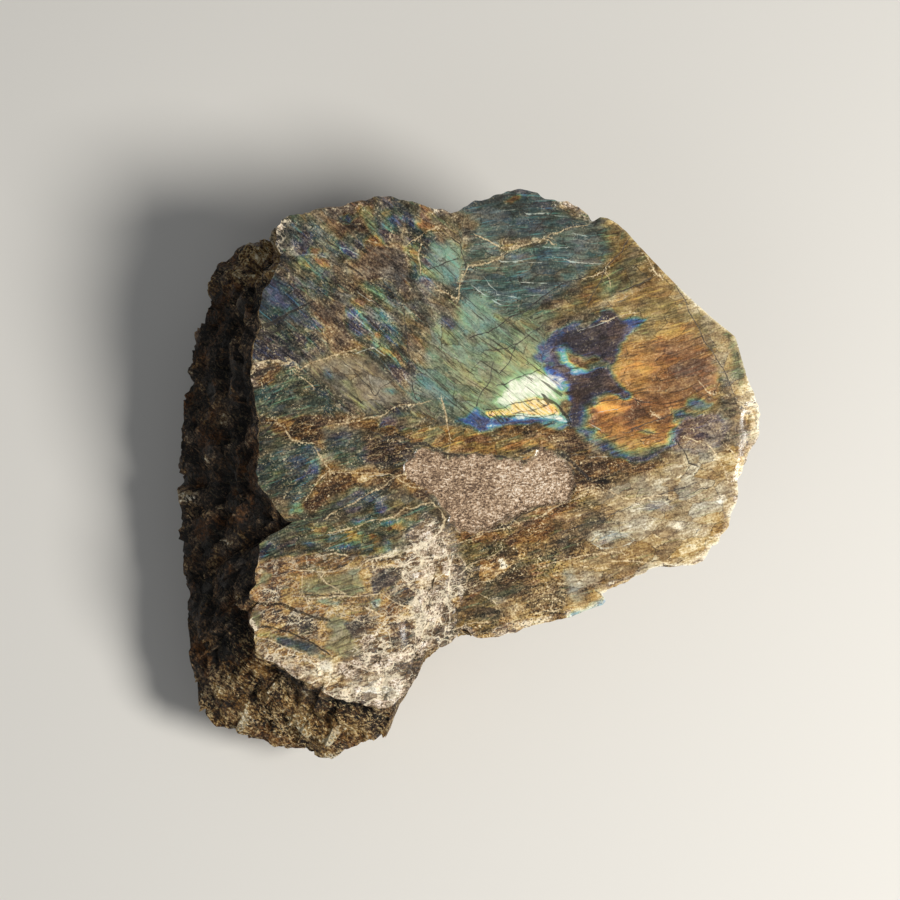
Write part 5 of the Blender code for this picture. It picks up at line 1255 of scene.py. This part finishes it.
# Crushed feldspar: white powder between glassy splinters.
powder = add(tree, "Math", {0: streak, 1: 0.8, 2: haze}, operation="MULTIPLY_ADD")
powder = add(tree, "Math", {0: grit, 1: 1.1, 2: powder}, operation="MULTIPLY_ADD")
powder = add(tree, "Math", {0: powder, 1: 0.68, 2: -0.76}, operation="MULTIPLY_ADD")
powder = add(tree, "Math", {0: crush, 1: 0.24, 2: powder}, operation="MULTIPLY_ADD")
powder = add(tree, "Math", {0: rubble_relief, 1: 0.35, 2: powder}, operation="MULTIPLY_ADD")
powder_colour = add(tree, "ValToRGB", {0: powder}, stops=CRUSHED_FELDSPAR)
net_at = wandering_place(tree, grain, SPLINTER, cloud_colour, (1.3, 1.3, 1.3))
splinter_parts = cell_numbers(tree, net_at)
crush_there = add(tree, "Math", {0: crush, 1: 4.2, 2: -1.1}, operation="MULTIPLY_ADD")
crush_there = add(
    tree, "Math", {0: splinter_parts[0], 1: -2.5, 2: crush_there}, operation="MULTIPLY_ADD", use_clamp=True
)
colour = add(tree, "Mix", {"Factor": crush_there, 6: colour, 7: powder_colour}, 2, data_type="RGBA")

# A net of hairline cracks, healed pale where the feldspar is crushed and rusty elsewhere.
net = add(tree, "TexVoronoi", {"Vector": net_at, "Scale": 1.0}, feature="DISTANCE_TO_EDGE")
net = add(tree, "Math", {0: crush, 1: -0.07, 2: net}, operation="MULTIPLY_ADD")
net = add(tree, "MapRange", {"Value": net, "From Min": 0.035, "From Max": 0.005})
net_there = add(tree, "MapRange", {"Value": block_parts[1], "From Min": 0.4, "From Max": 0.8})
net_there = add(tree, "Math", {0: crush, 1: 5.0, 2: net_there}, operation="MULTIPLY_ADD", use_clamp=True)
net_kept = add(tree, "MapRange", {"Value": panel_parts[0], "From Min": 0.35, "From Max": 0.50})
net_there = add(tree, "Math", {0: net_there, 1: net_kept}, operation="MULTIPLY")
net = add(tree, "Math", {0: net, 1: net_there}, operation="MULTIPLY")
per_fork = [1.0 / size for size in FORKED_CRACK]
fork_at = add(tree, "VectorMath", {0: grain, 1: per_fork}, operation="MULTIPLY")
fork = add(tree, "TexNoise", {"Vector": fork_at, "Scale": 1.0, "Detail": 4.0, "Roughness": 0.55})
fork = add(tree, "Math", {0: fork, 1: 0.5}, operation="SUBTRACT")
fork = add(tree, "Math", {0: fork}, operation="ABSOLUTE")
fork = add(tree, "MapRange", {"Value": fork, "From Min": 0.014, "From Max": 0.004})
net_pale = add(tree, "Math", {0: crush, 1: 5.0}, operation="MULTIPLY", use_clamp=True)
pale_fork = add(tree, "Math", {0: fork, 1: net_pale}, operation="MULTIPLY")
net = add(tree, "Math", {0: net, 1: pale_fork}, operation="MAXIMUM")
net_colour = add(
    tree, "Mix", {"Factor": net_pale, 6: linear("#3d2d1e"), 7: linear("#f0e2c4")}, 2, data_type="RGBA"
)
net_amount = add(tree, "MapRange", {"Value": net_pale, "To Min": 0.5, "To Max": 0.75})
net_amount = add(tree, "Math", {0: net, 1: net_amount}, operation="MULTIPLY")
colour = add(tree, "Mix", {"Factor": net_amount, 6: colour, 7: net_colour}, 2, data_type="RGBA")
gold_fork = add(tree, "MapRange", {"Value": dust, "From Min": 0.3, "From Max": 0.9, "To Max": 0.85})
gold_fork = add(tree, "Math", {0: gold_fork, 1: fork}, operation="MULTIPLY")
gold_fork = add(tree, "Math", {0: gold_fork, 1: haze}, operation="MULTIPLY")
colour = add(tree, "Mix", {"Factor": gold_fork, 6: colour, 7: linear("#d8b981")}, 2, data_type="RGBA")
fault = add(tree, "MapRange", {"Value": fault, "From Min": 0.021, "From Max": 0.008})
unburnt = add(tree, "MapRange", {"Value": glow, "To Min": 1.0, "To Max": 0.2})
fault = add(tree, "Math", {0: fault, 1: unburnt}, operation="MULTIPLY")
fault = add(tree, "Math", {0: fault, 1: haze}, operation="MULTIPLY")
colour = add(tree, "Mix", {"Factor": fault, 6: colour, 7: linear("#241b13")}, 2, data_type="RGBA")

# Bright layers, healed veins and open cracks. Each wavers, swells, thins and breaks off.
waver = add(tree, "Math", {0: cloud_parts[0], 1: 0.9, 2: -0.45}, operation="MULTIPLY_ADD")
lines = []
for name, soft, least in (
    ("bright_layers", 0.08, -0.9),
    ("healed_veins", 0.09, -0.1),
    ("open_cracks", 0.07, 0.5),
):
    signed, half_width, away = stored[name]
    swell = add(tree, "MapRange", {"Value": haze, "To Min": least, "To Max": 1.5})
    signed = add(tree, "Math", {0: signed, 1: waver}, operation="ADD")
    off = add(tree, "Math", {0: signed}, operation="ABSOLUTE")
    half_width = add(tree, "Math", {0: half_width, 1: swell}, operation="MULTIPLY")
    over = add(tree, "Math", {0: half_width, 1: off}, operation="SUBTRACT")
    line = add(tree, "MapRange", {"Value": over, "From Min": -soft, "From Max": soft})
    near = add(tree, "MapRange", {"Value": away, "From Min": 0.9, "From Max": 0.6})
    lines.append(add(tree, "Math", {0: line, 1: near}, operation="MULTIPLY"))
layer, vein, crack = lines
layer_colour = add(
    tree, "Mix", {"Factor": amount, 6: linear("#d8d2bc"), 7: linear("#a2d2da")}, 2, data_type="RGBA"
)
layer = add(tree, "Math", {0: layer, 1: 0.75}, operation="MULTIPLY")
colour = add(tree, "Mix", {"Factor": layer, 6: colour, 7: layer_colour}, 2, data_type="RGBA")
vein_colour = add(
    tree, "Mix", {"Factor": grit, 6: linear("#9a7647"), 7: linear("#f2dfb2")}, 2, data_type="RGBA"
)
vein_part = add(tree, "MapRange", {"Value": crush, "From Max": 0.3, "To Min": 0.74, "To Max": 0.85})
vein = add(tree, "Math", {0: vein, 1: vein_part}, operation="MULTIPLY")
cream = add(tree, "MapRange", {"Value": crush, "From Max": 0.5, "To Max": 0.8})
vein_colour = add(tree, "Mix", {"Factor": cream, 6: vein_colour, 7: linear("#fff2d8")}, 2, data_type="RGBA")
colour = add(tree, "Mix", {"Factor": vein, 6: colour, 7: vein_colour}, 2, data_type="RGBA")
crack = add(tree, "Math", {0: crack, 1: 0.85}, operation="MULTIPLY")
colour = add(tree, "Mix", {"Factor": crack, 6: colour, 7: linear("#1a120a")}, 2, data_type="RGBA")

# Splinters that glint, and tiny pits, in flocks.
flock = add(tree, "MapRange", {"Value": cloud, "From Min": 0.52, "From Max": 0.62, "To Min": 0.14})
flock = add(tree, "Math", {0: flock, 1: dust}, operation="MULTIPLY", use_clamp=True)
by_line = add(tree, "MapRange", {"Value": by_vein, "From Min": 0.6, "To Max": 0.5})
flock = add(tree, "Math", {0: flock, 1: by_line}, operation="MAXIMUM")
glint = add(tree, "MapRange", {"Value": grit, "From Min": 0.70, "From Max": 0.80})
glint = add(tree, "Math", {0: glint, 1: flock}, operation="MULTIPLY")
colour = add(tree, "Mix", {"Factor": glint, 6: colour, 7: linear("#f3e2b8")}, 2, data_type="RGBA")
pitted = add(tree, "MapRange", {"Value": grit, "From Min": 0.26, "From Max": 0.14})
pitted = add(tree, "Math", {0: pitted, 1: dust}, operation="MULTIPLY", use_clamp=True)
colour = add(tree, "Mix", {"Factor": pitted, 6: colour, 7: linear("#1d1611")}, 2, data_type="RGBA")

# The dull hollow: sawn but never polished, pinkish brown and grainy.
in_hollow = add(tree, "Math", {0: grit, 1: 0.8, 2: hollow_depth}, operation="MULTIPLY_ADD")
in_hollow = add(tree, "MapRange", {"Value": in_hollow, "From Min": 0.65, "From Max": 0.3})
stroke_at = wandering_place(tree, in_mm, SAW_STROKE, cloud_colour, (2.0, 7.0, 0.5))
stroke = stretched_noise(tree, stroke_at, 1.0, 3.0, 0.65, 0.38, 0.62)
dull = add(tree, "Math", {0: grit, 1: 1.0, 2: streak}, operation="MULTIPLY_ADD")
dull = add(tree, "Math", {0: stroke, 1: 1.5, 2: dull}, operation="MULTIPLY_ADD")
dull = add(tree, "Math", {0: haze, 1: 0.9, 2: dull}, operation="MULTIPLY_ADD")
dull = add(tree, "Math", {0: dull, 1: 0.44, 2: -0.98}, operation="MULTIPLY_ADD")
dull = add(tree, "Math", {0: body_light, 1: dull}, operation="ADD")
dull = add(tree, "ValToRGB", {0: dull}, stops=SAWN_FELDSPAR)
colour = add(tree, "Mix", {"Factor": in_hollow, 6: colour, 7: dull}, 2, data_type="RGBA")

# Gloss: high on the polish, low on powder, veins and in the hollow.
rough = add(tree, "MapRange", {"Value": haze, "To Min": 0.14, "To Max": 0.26})
unpolished = add(tree, "MapRange", {"Value": crush, "From Max": 0.25, "To Max": 0.32})
rough = add(tree, "Math", {0: unpolished, 1: rough}, operation="ADD")
rough = add(tree, "Math", {0: vein, 1: 0.30, 2: rough}, operation="MULTIPLY_ADD")
rough = add(tree, "Math", {0: crack, 1: 0.80, 2: rough}, operation="MULTIPLY_ADD")
rough = add(tree, "Mix", {"Factor": in_hollow, 2: rough, 3: 0.8}, 0, data_type="FLOAT")
relief = add(tree, "MapRange", {"Value": in_hollow, "To Min": 0.12, "To Max": 1.0})
relief = add(tree, "Math", {0: crush, 1: 0.5, 2: relief}, operation="MULTIPLY_ADD")
bump = add(tree, "Bump", {"Height": grit, "Strength": relief, "Distance": 0.2 * MILLIMETRE})
finish_surface(polished, colour, rough, bump)


# Broken labradorite: the sides as they split. It gives the eye a dull and grainy break, dark brown
# to grey, rusty where water ran, with small cleavage planes that glint.
# Its left side and a band under the rim at the front left are darkened with painted shade.
broken = bpy.data.materials.new("broken_labradorite")
broken.use_nodes = True
tree = broken.node_tree
surface = add(tree, "Attribute", {}, "Vector", attribute_name="surface", attribute_type="GEOMETRY")
# dark is the painted shade of the left side and of the groove under the rim.
rock_relief, dark, _ = add(tree, "SeparateXYZ", {0: surface}).node.outputs
in_mm, grain, drawn = stone_places(tree)
streak = stretched_noise(tree, drawn, 1.0, 5.0, 0.66, 0.36, 0.64)
cloud = add(
    tree, "TexNoise", {"Vector": in_mm, "Scale": 1.0 / BROKEN_CLOUD, "Detail": 6.0, "Roughness": 0.62}
)
cloud_colour = cloud.node.outputs["Color"]
cloud_parts = add(tree, "SeparateXYZ", {0: cloud_colour}).node.outputs
haze = add(tree, "MapRange", {"Value": cloud, "From Min": 0.35, "From Max": 0.65})
grit = stretched_noise(tree, in_mm, BROKEN_GRIT, 3.0, 0.66, 0.34, 0.66)
facet_parts = cell_numbers(tree, wandering_place(tree, grain, CLEAVED_FACET, drawn, (0.06, 0.06, 0.06)))
cleaved = add(tree, "MapRange", {"Value": facet_parts[2], "From Min": 0.70, "From Max": 0.76})
# The painted shade, dark, makes the rock darker and, below, less rusty.
lightness = -0.24
for texture, weight in (
    (streak, 0.40), (facet_parts[0], 0.22), (grit, 0.64), (haze, 0.16), (rock_relief, 0.30), (dark, -0.38)
):
    lightness = add(tree, "Math", {0: texture, 1: weight, 2: lightness}, operation="MULTIPLY_ADD")
rust = add(
    tree, "MapRange", {"Value": cloud, "From Min": 0.38, "From Max": 0.62, "To Min": 1.0, "To Max": 1.35}
)
rust = add(tree, "Math", {0: facet_parts[1], 1: -0.4, 2: rust}, operation="MULTIPLY_ADD")
rust = add(tree, "Math", {0: dark, 1: -0.35, 2: rust}, operation="MULTIPLY_ADD", use_clamp=True)
colour = feldspar(tree, lightness, rust)

# Rust stains, and then the break itself: splinters, some of which glint, with painted shade, near black, in
# the gaps between them.
stain = add(tree, "MapRange", {"Value": cloud_parts[1], "From Min": 0.52, "From Max": 0.62, "To Max": 0.55})
stain = add(tree, "Math", {0: stain, 1: grit}, operation="MULTIPLY")
colour = add(tree, "Mix", {"Factor": stain, 6: colour, 7: linear("#9a5f22")}, 2, data_type="RGBA")
plane_at = wandering_place(tree, grain, BROKEN_SPLINTER, cloud_colour, (9.0, 9.0, 9.0))
plane = add(tree, "TexNoise", {"Vector": plane_at, "Scale": 1.0, "Detail": 3.0, "Roughness": 0.7})
grainy = add(tree, "MapRange", {"Value": cleaved, "To Min": 1.0, "To Max": 0.3})
painted_gap_shade = add(tree, "MapRange", {"Value": plane, "From Min": 0.475, "From Max": 0.435})
painted_gap_shade = add(tree, "Math", {0: painted_gap_shade, 1: grainy}, operation="MULTIPLY")
patchy = add(
    tree, "MapRange", {"Value": cloud_parts[0], "From Min": 0.60, "From Max": 0.42, "To Min": 0.45}
)
painted_gap_shade = add(tree, "Math", {0: painted_gap_shade, 1: patchy}, operation="MULTIPLY")
colour = add(tree, "Mix", {"Factor": painted_gap_shade, 6: colour, 7: linear("#0c0805")}, 2, data_type="RGBA")
glint = add(tree, "MapRange", {"Value": plane, "From Min": 0.555, "From Max": 0.60})
# Fewer glints show in the painted shade.
glint_amount = add(tree, "MapRange", {"Value": dark, "To Min": 1.0, "To Max": 0.1})
glint_amount = add(tree, "Math", {0: glint, 1: glint_amount}, operation="MULTIPLY")
flock = add(tree, "MapRange", {"Value": cloud_parts[2], "From Min": 0.40, "From Max": 0.54, "To Min": 0.5})
glint_amount = add(tree, "Math", {0: glint_amount, 1: flock}, operation="MULTIPLY")
glint_amount = add(tree, "Math", {0: glint_amount, 1: grainy}, operation="MULTIPLY", use_clamp=True)
colour = add(tree, "Mix", {"Factor": glint_amount, 6: colour, 7: linear("#ffe2a6")}, 2, data_type="RGBA")
rough = add(tree, "MapRange", {"Value": glint_amount, "To Min": 0.9, "To Max": 0.35})
rough = add(tree, "Math", {0: cleaved, 1: -0.4, 2: rough}, operation="MULTIPLY_ADD", use_clamp=True)
lift = add(tree, "Math", {0: glint, 1: 0.3, 2: grit}, operation="MULTIPLY_ADD")
bump = add(tree, "Bump", {"Height": lift, "Strength": 1.0, "Distance": 0.8 * MILLIMETRE})
finish_surface(broken, colour, rough, bump)
tree.nodes["Principled BSDF"].inputs["Specular IOR Level"].default_value = 0.3

mesh.materials.append(polished)
mesh.materials.append(broken)
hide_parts("labradorite_stone")
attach(stone, "root")

# ---------------------------------------------------------------------------------------------
# The studio: a pale floor, a soft key light from the right and a broad fill. The camera looks
# square on to the polished face.
# ---------------------------------------------------------------------------------------------
FLOOR_SIZE = 3.0  # metres
half = FLOOR_SIZE / 2.0
floor_corners = [(-half, -half, 0), (half, -half, 0), (half, half, 0), (-half, half, 0)]
floor_mesh = bpy.data.meshes.new("floor")
floor_mesh.from_pydata(floor_corners, [], [(0, 1, 2, 3)])
floor = bpy.data.objects.new("floor", floor_mesh)
bpy.context.scene.collection.objects.link(floor)
# Matt pale paper: it gives the eye a soft shadow under the stone and no reflection.
paper = bpy.data.materials.new("matt_pale_paper")
paper.use_nodes = True
shader = paper.node_tree.nodes["Principled BSDF"]
shader.inputs["Base Color"].default_value = linear("#d9d7d2")
shader.inputs["Roughness"].default_value = 0.9
floor_mesh.materials.append(paper)

# The room's own light, cool and weak.
world = bpy.data.worlds.new("soft_room")
world.use_nodes = True
background = world.node_tree.nodes["Background"]
background.inputs["Color"].default_value = (0.75, 0.78, 0.82, 1.0)
background.inputs["Strength"].default_value = 0.22
bpy.context.scene.world = world


def aim(thing, target):
    """Turns a light or the camera at its place so that it looks at a target, with +Y up in its view."""
    looking = np.array(target) - np.array(thing.location)
    looking = looking / np.linalg.norm(looking)
    right = np.cross(looking, (0.0, 1.0, 0.0))
    right = right / np.linalg.norm(right)
    above = np.cross(right, looking)
    turned_to = np.eye(4)
    turned_to[:3, :3] = np.column_stack([right, above, -looking])
    turned_to[:3, 3] = thing.location
    thing.matrix_world = Matrix(turned_to.tolist())


LIGHTS = [  # name, place and size in metres, power in watts, colour
    ("key", (0.50, -0.20, 0.62), 0.30, 7.7, (1.0, 0.97, 0.92)),
    ("fill", (-0.35, -0.6, 0.6), 0.8, 1.0, (1.0, 1.0, 1.0)),
]
LIT_PLACE = (0.0, 0.0, 0.03)  # what both lights point at
for light_name, light_place, light_size, power, light_colour in LIGHTS:
    light = bpy.data.lights.new(light_name, "AREA")
    light.shape = "DISK"
    light.size = light_size
    light.energy = power
    light.color = light_colour
    lamp = bpy.data.objects.new(light_name, light)
    lamp.location = light_place
    bpy.context.scene.collection.objects.link(lamp)
    aim(lamp, LIT_PLACE)

CAMERA_AWAY = 0.6  # metres from the polished face
VIEW_WIDTH = 0.189  # metres across the view, at the polished face
SENSOR = 36.0  # mm
FACE_CENTRE = (-4.94, 4.65)  # the place on the face, in plan, that the camera looks at
lean = math.radians(FACE_LEAN)
centre_height = FACE_HEIGHT + math.tan(lean) * FACE_CENTRE[1]
centre = np.append(np.array(FACE_CENTRE) - BOX_MIDDLE, centre_height) * MILLIMETRE
camera_data = bpy.data.cameras.new("camera")
camera_data.sensor_width = SENSOR
camera_data.lens = SENSOR * CAMERA_AWAY / VIEW_WIDTH
camera_data.clip_start = 0.01
camera = bpy.data.objects.new("camera", camera_data)
camera.location = centre + CAMERA_AWAY * np.array((0.0, -math.sin(lean), math.cos(lean)))
bpy.context.scene.collection.objects.link(camera)
aim(camera, centre)
bpy.context.scene.camera = camera
bpy.context.scene.view_settings.view_transform = "Standard"
